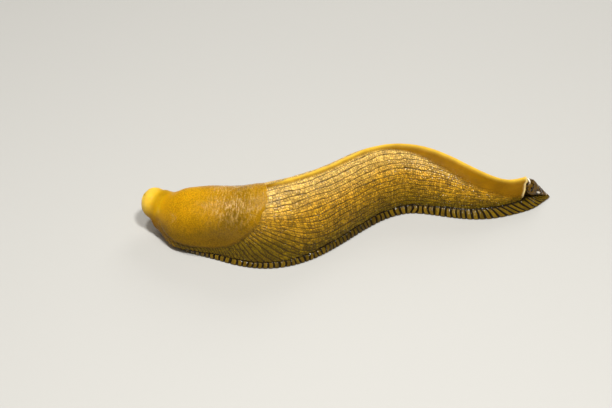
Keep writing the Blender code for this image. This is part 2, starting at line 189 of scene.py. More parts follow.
# Stage, in metres: half the floor, the camera on the slug's left with its lens in mm, and the area lamps
# with their places, sizes and watts.
FLOOR_HALF = 2.0
CAMERA_LIFT = math.radians(35)
CAMERA_DISTANCE = 0.6
CAMERA_LENS = 120.3
LAMPS = (
    ("key", (-0.04, -0.22, 0.54), 0.5, 0.8),
    ("mantle spark", (-0.125, -0.063, 0.57), 0.07, 1.3),
    ("flank spark", (0.08, -0.25, 0.50), 0.07, 2.6),
    ("rim", (0.15, 0.50, 0.30), 0.3, 1.2),
    ("side", (-0.6, -0.10, 0.09), 0.05, 0.22),
)


def linear(code):
    """Linear RGB of an sRGB hex colour."""
    value = np.array([int(code[i:i + 2], 16) for i in (0, 2, 4)]) / 255
    return tuple(np.where(value <= 0.04045, value / 12.92, ((value + 0.055) / 1.055) ** 2.4).tolist())


def natural_spline(knots, values, at):
    """The natural cubic spline through values at the knots, read at the places at."""
    count = len(knots)
    step = np.diff(knots)
    slope = np.diff(values, axis=0) / step[:, None]
    system = np.eye(count)
    right = np.zeros_like(values)
    for i in range(1, count - 1):
        system[i, i - 1:i + 2] = step[i - 1], 2 * (step[i - 1] + step[i]), step[i]
        right[i] = 6 * (slope[i] - slope[i - 1])
    bend = np.linalg.solve(system, right)
    k = np.clip(np.searchsorted(knots, at) - 1, 0, count - 2)
    t = (at - knots[k])[:, None]
    h = step[k][:, None]
    slope_at = slope[k] - h * (2 * bend[k] + bend[k + 1]) / 6
    return values[k] + t * (slope_at + t * (bend[k] / 2 + t * (bend[k + 1] - bend[k]) / (6 * h)))


KNOTS = np.append(0.0, np.cumsum(np.hypot(*np.diff(STATIONS[:, :2], axis=0).T)))
LENGTH = KNOTS[-1]


def station_at(x):
    """s where the axis reaches x, in the stations' own plan."""
    return float(np.interp(x, STATIONS[:, 0], KNOTS))


def body_sizes(s):
    """Foot half width, groove half width, back height, roof roundness and groove height at each s."""
    return natural_spline(KNOTS, STATIONS[:, 2:], np.clip(s, 0, LENGTH)).T


def body_axis(s):
    """Point of the axis in plan, and unit vectors along it and to its right. Before s = 0 it is straight."""
    on = np.clip(s, 0, LENGTH - AXIS_STEP)
    point = natural_spline(KNOTS, STATIONS[:, :2], on)
    along = natural_spline(KNOTS, STATIONS[:, :2], on + AXIS_STEP) - point
    along /= np.linalg.norm(along, axis=1)[:, None]
    point = point + along * (s - on)[:, None] - ORIGIN_IN_PLAN
    return point, along, np.column_stack((-along[:, 1], along[:, 0]))


def placed(s, across, up):
    """World points at distances across and up from the axis, one row for each s."""
    point, _, right = body_axis(s)
    plan = point[:, None, :] + right[:, None, :] * across[..., None]
    return np.concatenate((plan, np.broadcast_to(up, across.shape)[..., None]), axis=2)


def powered(value, power):
    """|value| ^ power, with the sign of value."""
    return np.sign(value) * np.abs(value) ** power


def roof_section(s, f):
    """Across and up of the roof for rows s and shares f, and the half girth of each row.

    With an angle a from -90 to 90 degrees, across = waist * sin(a) ^ (2 / roundness) and
    up = groove + (back - groove) * cos(a) ^ (2 / flank roundness), read by its own arc length.
    """
    _, waist, back, roundness, groove = body_sizes(s)
    angle = np.linspace(-math.pi / 2, math.pi / 2, ROOF_STEPS + 1)
    across = waist[:, None] * powered(np.sin(angle), 2 / roundness[:, None])
    up = groove[:, None] + (back - groove)[:, None] * np.abs(np.cos(angle)) ** (2 / FLANK_ROUNDNESS)
    run = np.cumsum(np.hypot(np.diff(across, axis=1), np.diff(up, axis=1)), axis=1)
    run = np.column_stack((np.zeros(len(s)), run))
    row = np.arange(len(s))[:, None] * (run.max() + 1)
    wanted = (f + 1) / 2 * run[:, -1:]
    at_across = np.interp((wanted + row).ravel(), (run + row).ravel(), across.ravel())
    at_up = np.interp((wanted + row).ravel(), (run + row).ravel(), up.ravel())
    return at_across.reshape(wanted.shape), at_up.reshape(wanted.shape), run[:, -1] / 2


def rise(value, start, length):
    """0 before start, 1 after start + length, and a smooth step between them."""
    t = np.clip((np.asarray(value, float) - start) / length, 0, 1)
    return t * t * (3 - 2 * t)


def bell(value, middle, width):
    """1 at the middle, falling off as a bell curve of that half width."""
    return np.exp(-((value - middle) / width) ** 2)


def between(table, i, j, next_i, next_j, a, b):
    """Values of a table between its rows i and next_i, by the share a, and its columns, by the share b."""
    low = table[i, j] * (1 - a) + table[next_i, j] * a
    high = table[i, next_j] * (1 - a) + table[next_i, next_j] * a
    return low * (1 - b) + high * b


def drift(u, v, seed):
    """Smooth noise from -1 to 1: random values on a unit lattice, joined by smooth steps between them."""
    long, wide = LATTICE
    lattice = np.random.default_rng(seed).uniform(-1, 1, LATTICE)
    i, j = np.floor(u).astype(int), np.floor(v).astype(int)
    a, b = rise(u - i, 0, 1), rise(v - j, 0, 1)
    return between(lattice, i % long, j % wide, (i + 1) % long, (j + 1) % wide, a, b)


def to_line(phase):
    """Distance to the nearest whole number, 0 to 0.5."""
    return np.abs(phase - np.round(phase))


def grid_normals(points, wrap):
    """Unit normals of a grid of points by central differences, its columns closed in a ring if wrap."""
    along = np.gradient(points, axis=0)
    if wrap:
        around = (np.roll(points, -1, axis=1) - np.roll(points, 1, axis=1)) / 2
    else:
        around = np.gradient(points, axis=1)
    normal = np.cross(around, along)
    return normal / np.maximum(np.linalg.norm(normal, axis=2), 1e-9)[..., None]


def facing(normals, place, way):
    """The normals of a grid, turned round if the one at that place looks against the way given."""
    return -normals if np.dot(normals[place], way) < 0 else normals


def head_section(s, turn):
    """Forward, across and up of the head's ellipses, at angles turn round them."""
    forward = np.maximum(-s, 0)
    neck = rise(forward, 0, NECK_LENGTH)
    wide = NECK_HALF_WIDTH + (HEAD_HALF_WIDTH - NECK_HALF_WIDTH) * neck + NECK_WIDENING * np.maximum(s, 0)
    high = NECK_HALF_HEIGHT + (HEAD_HALF_HEIGHT - NECK_HALF_HEIGHT) * neck
    past = np.clip((forward - NECK_LENGTH) / DOME_LENGTH, 0, 1)
    shrink = np.sqrt(1 - past * past)
    below = np.maximum(-np.sin(turn), 0)
    across = (wide * shrink)[:, None] * np.cos(turn) * (1 + CHEEK * (1 - neck)[:, None] * below)
    up = (HEAD_MIDDLE + HEAD_TILT * forward)[:, None] + (high * shrink)[:, None] * np.sin(turn)
    up = up + (CHIN_RISE * neck * shrink)[:, None] * below
    return np.stack(np.broadcast_arrays(-s[:, None], across, up), axis=2)


def body_surface(s, f):
    """World points of the smooth body, the roof mixed into the head's ellipses, and those ellipses."""
    across, up, _ = roof_section(np.maximum(s, 0), np.broadcast_to(f, (len(s), len(f))))
    local = head_section(s, math.pi / 2 - f * (math.pi / 2 + HEAD_UNDERSIDE))
    mix = rise(s, HEAD_BLEND_START, HEAD_BLEND_LENGTH)[:, None]
    across = across * mix + local[..., 1] * (1 - mix)
    up = up * mix + local[..., 2] * (1 - mix)
    return placed(s, across, up), local


TABLE_STEPS = (1320, 400)
TABLE_START = -4.0
TABLE_S = np.linspace(TABLE_START, LENGTH, TABLE_STEPS[0] + 1)
TABLE_F = np.linspace(-1, 1, TABLE_STEPS[1] + 1)
TABLE_GIRTH = roof_section(np.maximum(TABLE_S, 0), np.zeros((len(TABLE_S), 1)))[2]
TABLE_POINTS = body_surface(TABLE_S, TABLE_F)[0]
TABLE_MIDDLE = (TABLE_STEPS[0] // 2, TABLE_STEPS[1] // 2)
TABLE_NORMALS = facing(grid_normals(TABLE_POINTS, False), TABLE_MIDDLE, UP)
# Just under 1, so that a place at the end of the table still has a row after it.
TABLE_END = 0.999999


def on_body(s, f, offset):
    """World points on the smooth body, moved out along its normal, read between the rows of a fine table."""
    i = np.clip((s - TABLE_START) / (LENGTH - TABLE_START), 0, TABLE_END) * TABLE_STEPS[0]
    j = np.clip((f + 1) / 2, 0, TABLE_END) * TABLE_STEPS[1]
    row, column = i.astype(int), j.astype(int)
    a, b = (i - row)[..., None], (j - column)[..., None]
    point = between(TABLE_POINTS, row, column, row + 1, column + 1, a, b)
    normal = between(TABLE_NORMALS, row, column, row + 1, column + 1, a, b)
    return point + normal * offset[..., None]


def half_girth(s):
    """Length of the roof from the keel down to the groove over the foot, at each s."""
    return np.interp(s, TABLE_S, TABLE_GIRTH)


def groove_share(s, side):
    """Share of the half girth that the groove through a point has reached once it runs along the body.

    The point is carried along the field d side / d s = FAN_SLOPE * rise(side) * (1 - rise(s)), in steps.
    """
    step = np.maximum(FAN_FADE[1] - s, 0) / FAN_STEPS
    for k in range(FAN_STEPS):
        fade = 1 - rise(s + k * step, FAN_FADE[0], FAN_FADE[1] - FAN_FADE[0])
        side = side + step * FAN_SLOPE * fade * rise(side, FAN_SHARES[0], FAN_SHARES[1] - FAN_SHARES[0])
    return side


def neck_shade(s, f):
    """0 to 1: warm painted shade in the soft groove between head and mantle, which slants forward down the
    sides.
    """
    return 0.45 * bell(s, 0.4 - 3.0 * np.abs(f), 1.8)


def margin_wave(s, f):
    """Unevenness of the mantle's margin behind its middle, as a share of its reach."""
    wave = 0.018 * drift(s / 2.2, f * 8 + 40, 36) + 0.01 * drift(s / 0.7, f * 25 + 40, 37)
    return wave * (s > MANTLE_MIDDLE)


def mantle_reach(s, f):
    """1 on the mantle's outline and less inside: (|x| ^ n + |y| ^ n) ^ (1 / n) of its two half ovals."""
    ahead = s - MANTLE_MIDDLE
    x = np.abs(ahead) / np.where(ahead < 0, MANTLE_FRONT_REACH, MANTLE_REAR_REACH)
    drop = MANTLE_FRONT_DROP * np.clip(np.where(ahead < 0, x, 0), 0, 1)
    y = np.abs(f) / (MANTLE_GIRTH + drop)
    n = np.where(ahead < 0, MANTLE_FRONT_OUTLINE, MANTLE_REAR_OUTLINE)
    return (np.minimum(x, 3) ** n + y ** n) ** (1 / n) + margin_wave(s, f)


def new_object(name, data):
    """An object in the scene that shows a mesh, a lamp or a camera."""
    obj = bpy.data.objects.new(name, data)
    bpy.context.scene.collection.objects.link(obj)
    return obj


def skin_mesh(name, rows, poles, attributes, material):
    """A closed skin through rows of points, each closed in a ring, with a point at each end.

    rows is an array (row, place round the ring, 3) in mm, and a pole of None is the middle of its row. The
    faces are turned outwards by the sign of the volume. The UV map runs along the rows and round the rings,
    as an unwrap of the skin's own shape.
    """
    count, ring = rows.shape[:2]
    ends = [rows[k].mean(axis=0) if pole is None else pole for k, pole in zip((0, -1), poles)]
    points = np.concatenate((rows.reshape(-1, 3), ends))
    i, j = (index.ravel() for index in np.meshgrid(np.arange(count - 1), np.arange(ring), indexing="ij"))
    corner_row = np.column_stack((i, i, i + 1, i + 1))
    corner_turn = np.column_stack((j, j + 1, j + 1, j))
    quads = corner_row * ring + corner_turn % ring
    k = np.arange(ring)
    last = (count - 1) * ring
    front_fan = np.column_stack(((k + 1) % ring, k, np.full(ring, count * ring)))
    front_row = np.tile((0, 0, -1), (ring, 1))
    front_turn = np.column_stack((k + 1, k, k))
    back_fan = np.column_stack((last + k, last + (k + 1) % ring, np.full(ring, count * ring + 1)))
    back_row = np.tile((count - 1, count - 1, count), (ring, 1))
    back_turn = np.column_stack((k, k + 1, k))
    faces = [
        (quads, corner_row, corner_turn),
        (front_fan, front_row, front_turn),
        (back_fan, back_row, back_turn),
    ]
    a, b, c = points[quads[:, 0]], points[quads[:, 1]], points[quads[:, 2]]
    if np.einsum("ij,ij->i", a - points.mean(axis=0), np.cross(b - a, c - a)).sum() < 0:
        faces = [tuple(part[:, ::-1] for part in group) for group in faces]
    loops, u, v = (np.concatenate([group[part].ravel() for group in faces]) for part in range(3))
    corners = np.concatenate([np.full(len(group[0]), group[0].shape[1]) for group in faces])
    mesh = bpy.data.meshes.new(name)
    mesh.vertices.add(len(points))
    mesh.vertices.foreach_set("co", (points * MM).ravel())
    mesh.loops.add(len(loops))
    mesh.loops.foreach_set("vertex_index", loops)
    mesh.polygons.add(len(corners))
    mesh.polygons.foreach_set("loop_start", np.append(0, np.cumsum(corners)[:-1]))
    mesh.update(calc_edges=True)
    uv = mesh.uv_layers.new(name="OFBake")
    uv.data.foreach_set("uv", np.column_stack(((u + 1.0) / (count + 1), v / ring)).ravel())
    for label, values in attributes.items():
        full = np.concatenate((values.ravel(), (values[0].mean(), values[-1].mean())))
        mesh.attributes.new(label, "FLOAT", "POINT").data.foreach_set("value", full.astype(np.float32))
    mesh.shade_smooth()
    mesh.materials.append(material)
    return new_object(name, mesh)


def add(tree, kind, inputs=None, **settings):
    """Adds a node. settings are its properties, inputs its sockets' values or the sockets they follow."""
    made = tree.nodes.new(kind)
    for label, value in settings.items():
        setattr(made, label, value)
    for key, value in (inputs or {}).items():
        if isinstance(value, bpy.types.NodeSocket):
            tree.links.new(value, made.inputs[key])
        else:
            made.inputs[key].default_value = value
    return made


def raise_cells(obj, depth):
    """Sinks the creases round the tubercles into the mesh, by the pattern that the skin's material draws."""
    tree = bpy.data.node_groups.new("tubercles", "GeometryNodeTree")
    for way in ("INPUT", "OUTPUT"):
        tree.interface.new_socket(name="Geometry", in_out=way, socket_type="NodeSocketGeometry")
    shape = add(tree, "NodeGroupInput").outputs[0]
    value = {}
    for label in ("ridge", "run", "cells"):
        value[label] = add(tree, "GeometryNodeInputNamedAttribute", {"Name": label}).outputs["Attribute"]
    crease = cell_crease(tree, value["ridge"], value["run"])
    sunk = add(tree, "ShaderNodeMath", {0: crease, 1: value["cells"]}, operation="MULTIPLY").outputs[0]
    sunk = add(tree, "ShaderNodeMath", {0: sunk, 1: -depth}, operation="MULTIPLY").outputs[0]
    normal = add(tree, "GeometryNodeInputNormal").outputs[0]
    offset = add(tree, "ShaderNodeVectorMath", {0: normal, 3: sunk}, operation="SCALE").outputs[0]
    moved = add(tree, "GeometryNodeSetPosition", {"Geometry": shape, "Offset": offset}).outputs[0]
    add(tree, "NodeGroupOutput", {0: moved})
    modifier = obj.modifiers.new("tubercles", "NODES")
    modifier.node_group = tree
    with bpy.context.temp_override(object=obj, active_object=obj):
        bpy.ops.object.modifier_apply(modifier=modifier.name)


def tubercle(tree, ridge, run, feature):
    """A Voronoi node over the tubercles: jittered cells, two to a ridge, in rows that follow the grooves."""
    across = add(
        tree, "ShaderNodeMath", {0: ridge, 1: 2.0, 2: 0.5 + CELL_JITTER / 2}, operation="MULTIPLY_ADD"
    ).outputs[0]
    place = add(tree, "ShaderNodeCombineXYZ", {"X": across, "Y": run}).outputs[0]
    return add(
        tree, "ShaderNodeTexVoronoi", {"Vector": place, "Scale": 1.0, "Randomness": CELL_JITTER},
        voronoi_dimensions="2D", feature=feature,
    )


def cell_crease(tree, ridge, run):
    """Nodes for the creases between tubercles, 0 to 1."""
    edge = tubercle(tree, ridge, run, "DISTANCE_TO_EDGE").outputs["Distance"]
    return add(
        tree, "ShaderNodeMapRange",
        {"Value": edge, "From Min": 0.03, "From Max": 0.24, "To Min": 1.0, "To Max": 0.0},
        interpolation_type="SMOOTHSTEP",
    ).outputs[0]


def new_material(name, *labels):
    """A material with a Principled shader on its output, and the mesh attributes that it reads."""
    material = bpy.data.materials.new(name)
    material.use_nodes = True
    tree = material.node_tree
    tree.nodes.clear()
    shader = add(tree, "ShaderNodeBsdfPrincipled")
    add(tree, "ShaderNodeOutputMaterial", {"Surface": shader.outputs["BSDF"]})
    value = {}
    for label in labels:
        value[label] = add(tree, "ShaderNodeAttribute", attribute_name=label).outputs["Fac"]
    return material, tree, shader, value


def toned(tree, colour, pattern, limits, tones, share=1.0):
    """A colour times a tone, which goes from one of tones to the other as the pattern passes its limits."""
    ends = dict(zip(("From Min", "From Max", "To Min", "To Max"), (*limits, *tones)))
    tone = add(tree, "ShaderNodeMapRange", {"Value": pattern, **ends}).outputs[0]
    return add(
        tree, "ShaderNodeMix", {0: share, 6: colour, 7: tone}, data_type="RGBA", blend_type="MULTIPLY"
    ).outputs[2]


def wet_surface(tree, shader, colour, bump, levels):
    """Links a shader's colour and bump, which its coat follows too, and sets its other sockets."""
    for label, source in (("Base Color", colour), ("Normal", bump), ("Coat Normal", bump)):
        tree.links.new(source, shader.inputs[label])
    for label, level in levels:
        shader.inputs[label].default_value = level


class SlugSizes(bpy.types.PropertyGroup):
    """Sizes of the relief of the skin."""

    groove_count: bpy.props.IntProperty(
        name="Grooves", description="Long grooves on each flank", default=13, min=4, max=30
    )
    groove_depth: bpy.props.FloatProperty(
        name="Groove depth", description="Depth of the long grooves", default=0.00014, unit="LENGTH"
    )
    # A little coarser than life, so that the tubercles show in the render.
    cell_length: bpy.props.FloatProperty(
        name="Cell length", description="Length of the tubercles along a ridge", default=0.00076,
        unit="LENGTH",
    )
    cell_depth: bpy.props.FloatProperty(
        name="Cell depth", description="Depth of the creases round a tubercle", default=0.00014,
        unit="LENGTH",
    )
    keel_height: bpy.props.FloatProperty(
        name="Keel height", description="Height of the keel over the back", default=0.0006, unit="LENGTH"
    )
    stripe_pitch: bpy.props.FloatProperty(
        name="Stripe pitch", description="Distance between the dark stripes of the fringe", default=0.00165,
        unit="LENGTH",
    )
    stripe_depth: bpy.props.FloatProperty(
        name="Stripe depth", description="Depth of the folds of the fringe", default=0.00025, unit="LENGTH"
    )
    grain_size: bpy.props.FloatProperty(
        name="Mantle grain", description="Size of the mantle's fine grains", default=0.00045, unit="LENGTH"
    )


class SlugColours(bpy.types.PropertyGroup):
    """Colours of the skin and the mucus."""

    keel: bpy.props.FloatVectorProperty(
        name="Keel", description="Pale line on the back", subtype="COLOR", default=linear("DCB03A")
    )
    # Also painted as shade under the head and in the groove between head and mantle.
    band: bpy.props.FloatVectorProperty(
        name="Band", description="Smooth band beside the keel", subtype="COLOR", default=linear("845A02")
    )
    # Tan of the upper flank, partly a painted sheen.
    upper: bpy.props.FloatVectorProperty(
        name="Upper flank", description="Tan of the upper flank", subtype="COLOR", default=linear("E8BC60")
    )
    middle: bpy.props.FloatVectorProperty(
        name="Flank", description="Gold of the flank", subtype="COLOR", default=linear("CE981E")
    )
    # Olive of the lower flank, partly painted shade.
    lower: bpy.props.FloatVectorProperty(
        name="Lower flank", description="Olive of the lower flank", subtype="COLOR", default=linear("745C06")
    )
    # Also the colour of painted shade along the mantle's rear margin and in the tail pit.
    line: bpy.props.FloatVectorProperty(
        name="Grooves", description="Dark skin in the grooves", subtype="COLOR", default=linear("3C2A0E")
    )
    head: bpy.props.FloatVectorProperty(
        name="Head", description="Bright yellow of the head", subtype="COLOR", default=linear("CC9C0A")
    )
    mantle: bpy.props.FloatVectorProperty(
        name="Mantle", description="Ochre of the mantle", subtype="COLOR", default=linear("CA9208")
    )
    # Brown of the mantle's rear, also its painted shade lower down.
    mantle_dark: bpy.props.FloatVectorProperty(
        name="Mantle shade", description="Brown of the mantle's rear", subtype="COLOR",
        default=linear("7E5C04"),
    )
    fringe: bpy.props.FloatVectorProperty(
        name="Fringe", description="Khaki of the foot's edge", subtype="COLOR", default=linear("745A0A")
    )
    # Also the colour of painted shade on the fringe, along its top and in the breathing hole.
    stripe: bpy.props.FloatVectorProperty(
        name="Stripes", description="Dark stripes of the foot's edge", subtype="COLOR",
        default=linear("180F02"),
    )
    plug: bpy.props.FloatVectorProperty(
        name="Mucus", description="Brown mucus of the tail pit", subtype="COLOR", default=linear("604408")
    )


def dome_point(azimuth, height):
    """A point on the dome in the head's own axes: forward, right, up."""
    a, h = math.radians(azimuth), math.radians(height)
    way = np.array((math.cos(h) * math.cos(a), math.cos(h) * math.sin(a), math.sin(h)))
    ahead, right, up = way / np.linalg.norm(way / np.array((DOME_LENGTH, HEAD_HALF_WIDTH, HEAD_HALF_HEIGHT)))
    forward = NECK_LENGTH + ahead
    chin = CHIN_RISE * max(-up / HEAD_HALF_HEIGHT, 0)
    return np.array((forward, right, HEAD_MIDDLE + HEAD_TILT * forward + up + chin))


def head_relief(local):
    """Height over the dome: a dent with a rim and fine puckers at each tentacle, the lips and the mouth."""
    height = np.zeros(local.shape[:2])
    for azimuth, level, radius, depth in (UPPER_TENTACLE, LOWER_TENTACLE):
        for side in (-1, 1):
            away = local - dome_point(azimuth * side, level)
            gap = np.linalg.norm(away, axis=2) / radius
            turn = np.arctan2(away[..., 2], away[..., 1])
            pucker = 0.12 * np.cos(PUCKERS * turn) * bell(gap, 0.9, 0.4)
            height += depth * (0.22 * bell(gap, 1.5, 0.5) - np.exp(-1.6 * gap ** 2) + pucker)
    away = local - dome_point(0, MOUTH_HEIGHT)
    down = np.hypot(away[..., 0], away[..., 2])
    gap = np.hypot(away[..., 1] / LIP_REACH[0], down / LIP_REACH[1])
    slit = np.hypot(away[..., 1] / MOUTH_REACH[0], down / MOUTH_REACH[1])
    return height + LIP_HEIGHT * bell(gap, 0.7, 0.4) - MOUTH_DEPTH * np.exp(-slit ** 4)


DOME_ROWS = 26
# Rows of the skin behind the dome: where each stretch of them ends, and how many it has.
STRETCHES = ((2.0, 26), (26.0, 47), (LENGTH - 0.45, 395))
ROOF_COLUMNS = 190
UNDER_COLUMNS = 8
# The hidden underside: how far inside the groove it ends, and its share of the groove's height.
UNDERSIDE_INSET = 0.5
UNDERSIDE_LEVEL = 0.55
# Heights of the relief: lumps of the bare skin, sink under the mantle, dip along its rear margin, rim of the
# tail pit and wrinkles of the head, and the share of the way to its core that the skin draws in at the pit.
LUMP_HEIGHT = 0.06
MANTLE_SINK = 1.3
MARGIN_DIP = 0.2
RIM_HEIGHT = 0.35
WRINKLE_HEIGHT = 0.025
PIT_SHARE = 0.62


def body_rows():
    """Places of the rows along the body: close on the head and on the bare skin, wide under the mantle."""
    rows = [-NECK_LENGTH - DOME_LENGTH * np.sin(np.linspace(math.pi / 2, 0, DOME_ROWS + 1)[1:])]
    start = -NECK_LENGTH
    for end, count in STRETCHES:
        rows.append(np.linspace(start, end, count + 1)[1:])
        start = end
    return np.concatenate(rows)


def body_grid(s):
    """Rows of the whole skin over the foot, before its relief, and the share f of each of its columns.

    Behind the neck a row is the roof, closed by a flat underside that the foot hides, and on the head the
    underside is the rest of the ellipse.
    """
    share = np.linspace(1, -1, ROOF_COLUMNS)
    roof, roof_local = body_surface(s, share)
    _, waist, _, _, groove = body_sizes(s)
    inward = np.linspace(-1, 1, UNDER_COLUMNS + 2)[1:-1]
    turn = math.pi + HEAD_UNDERSIDE + (inward + 1) / 2 * (math.pi - 2 * HEAD_UNDERSIDE)
    local = head_section(s, turn)
    mix = rise(s, HEAD_BLEND_START, HEAD_BLEND_LENGTH)[:, None]
    across = np.clip(waist - UNDERSIDE_INSET, 0.05, None)[:, None] * inward * mix + local[..., 1] * (1 - mix)
    up = (groove * UNDERSIDE_LEVEL)[:, None] * mix + local[..., 2] * (1 - mix)
    under = placed(s, across, up)
    f = np.concatenate((share, -np.sign(inward)))
    local = np.concatenate((roof_local, local), axis=1)
    return np.concatenate((roof, under), axis=1), local, np.broadcast_to(f, (len(s), len(f)))


def flank_pattern(sizes, s, side):
    """Phases of the flank's pattern: across its ridges, whole in each groove, and along their cells."""
    wander = 0.26 * drift(s / 7.0, side * 9, 11) + 0.1 * drift(s / 2.0, side * 25, 12)
    ridge = sizes.groove_count * groove_share(s, side) + wander * rise(side, 0.02, 0.1)
    return ridge, s / (sizes.cell_length / MM) + 0.35 * drift(s / 2.3, side * 12, 13)


def tail_pit(s, side):
    """0 to 1: the pit, behind an uneven line that slants forward down the sides, and the rim along it."""
    rim_line = station_at(RIM_TOP) - RIM_LEAN * side ** 1.3 + 0.25 * drift(side * 7, s * 0, 19)
    behind = s - rim_line
    return rise(behind, 0.1, 0.8), bell(behind, -0.25, 0.3) * (1 - rise(side, 0.8, 0.12))


def head_wrinkles(local):
    """Fine rings of wrinkles round the head, broken and uneven, from -1 to 1."""
    turn = np.arctan2(local[..., 2] - HEAD_MIDDLE, local[..., 1])
    return drift(local[..., 0] / 0.36 + 40, turn * 2.2 + 9, 18)


def build_body_skin(sizes, colours):
    """The skin of head, trunk and tail: smooth rows moved along their normals by the relief."""
    s_row = body_rows()
    base, local, f = body_grid(s_row)
    s = np.broadcast_to(s_row[:, None], f.shape)
    side = np.abs(f)
    from_keel = side * half_girth(np.maximum(s, 0))
    over = np.ones(f.shape)
    over[:, ROOF_COLUMNS:] = 0
    trunk = rise(s, HEAD_BLEND_START, HEAD_BLEND_LENGTH) * over

    reach = mantle_reach(s, f)
    bare = rise(reach, 0.95, 0.02) * trunk
    tail = 1 - rise(s, LENGTH - 3.0, 2.0)
    widening = rise(s, 66, 36)
    band = (1 - rise(from_keel, 0.5 + 4.0 * widening, 1.0 + 0.6 * widening)) * bare
    net = bare * (1 - 0.93 * (1 - rise(from_keel, 0.4 + 3.3 * widening, 0.9 + 1.3 * widening))) * tail
    keel = bell(from_keel, 0, 0.6) * rise(s, 31, 6) * (1 - rise(s, station_at(RIM_TOP) - 0.5, 1.2))
    fan = rise(side, 0.4, 0.25) * (1 - rise(s, 29, 8)) * bare
    pit, rim = tail_pit(s, side)

    ridge, run = flank_pattern(sizes, s, side)
    long_groove = 1 - rise(to_line(ridge), 0, 0.16 + 0.16 * fan)
    uneven = 0.75 + 0.25 * drift(s / 4, side * 8, 17) + 0.5 * fan
    coarse = drift(s / 2.9, side * 9 + np.sign(f) * 40, 15) + 0.5 * drift(s / 1.1, side * 22 + 40, 16)
    height = -(sizes.groove_depth / MM) * long_groove * net * uneven
    height += LUMP_HEIGHT * coarse * bare
    height += (sizes.keel_height / MM) * keel
    # Under the mantle the skin lies deeper, and it dips along the mantle's rear margin.
    behind_mantle = rise(s, MANTLE_MIDDLE, 10)
    height -= MANTLE_SINK * (1 - rise(reach, 0.6, 0.07)) * over
    height -= MARGIN_DIP * bell(reach, 1.0, 0.02) * trunk * behind_mantle * rise(side, 0.1, 0.3)
    height += RIM_HEIGHT * rim * over
    height += head_relief(local) * (1 - rise(s, -0.5, 1.0))
    height += WRINKLE_HEIGHT * head_wrinkles(local) * (1 - rise(s, -1.5, 2)) * over

    middle = (len(s_row) // 2, ROOF_COLUMNS // 2)
    points = base + facing(grid_normals(base, True), middle, UP) * height[..., None]
    # Behind the rim the skin draws in towards a line under the mucus, inside the end of the foot.
    core = placed(s_row, np.zeros((len(s_row), 1)), body_sizes(s_row)[4][:, None] * 0.7)
    points += (core - points) * (PIT_SHARE * pit)[..., None]
    points[..., 2] = np.maximum(points[..., 2], 0.15)
    head_tip = base[0].mean(axis=0)
    yellow = 1 - rise(s, *BODY_HEAD_TONE)
    up_share = (local[..., 2] - HEAD_MIDDLE) / HEAD_HALF_HEIGHT
    attributes = {
        "ridge": ridge,
        "run": run,
        "net": net,
        "cells": net * (1 - 0.4 * fan) * (0.75 + 0.25 * rise(side, 0.2, 0.3)),
        "band": band,
        "keel": keel,
        # Paler to the back and darker down the flank: partly the skin's own tones, partly painted sheen
        # above and painted shade below; also darker where the grooves fan out, and paler near the front.
        "tone": side + 0.03 * coarse + 0.2 * fan - 0.3 * (1 - rise(s, 3, 12)),
        "head": yellow,
        # A pale snout, partly its own colour and partly a painted highlight, paler higher up the dome.
        "pale_snout_and_highlight": 0.8 * rise(-s, NECK_LENGTH - 2.5, DOME_LENGTH + 2.5) * rise(up_share, -0.9, 1.0),
        # chin: painted shade on the lower side of the head, with the painted shade of the groove behind it.
        "chin": np.maximum(0.95 * rise(side, 0.3, 0.42) * yellow, neck_shade(s, f)),
        "film": 0.9 * net * (1 - 0.85 * band) * (1 - 0.6 * yellow) * (1 - 0.6 * rise(side, 0.45, 0.35))
        + 0.4 * yellow * bell(side, 0.5, 0.25),
        "rim": rim,
        "fan": fan,
        # Painted shade in the dip along the mantle's rear margin and in the tail pit, and darker skin
        # towards the tail, away from the keel and the rim.
        "crease": 0.5 * bell(reach, 0.995, 0.02) * rise(side, 0.15, 0.35) * trunk * behind_mantle + 0.8 * pit
        + 0.3 * rise(s, station_at(45), 14) * (1 - keel) * (1 - rim) * (1 - pit),
    }
    skin = skin_mesh("body_skin", points, (head_tip, None), attributes, slug_skin_material(colours))
    raise_cells(skin, sizes.cell_depth)
    return skin


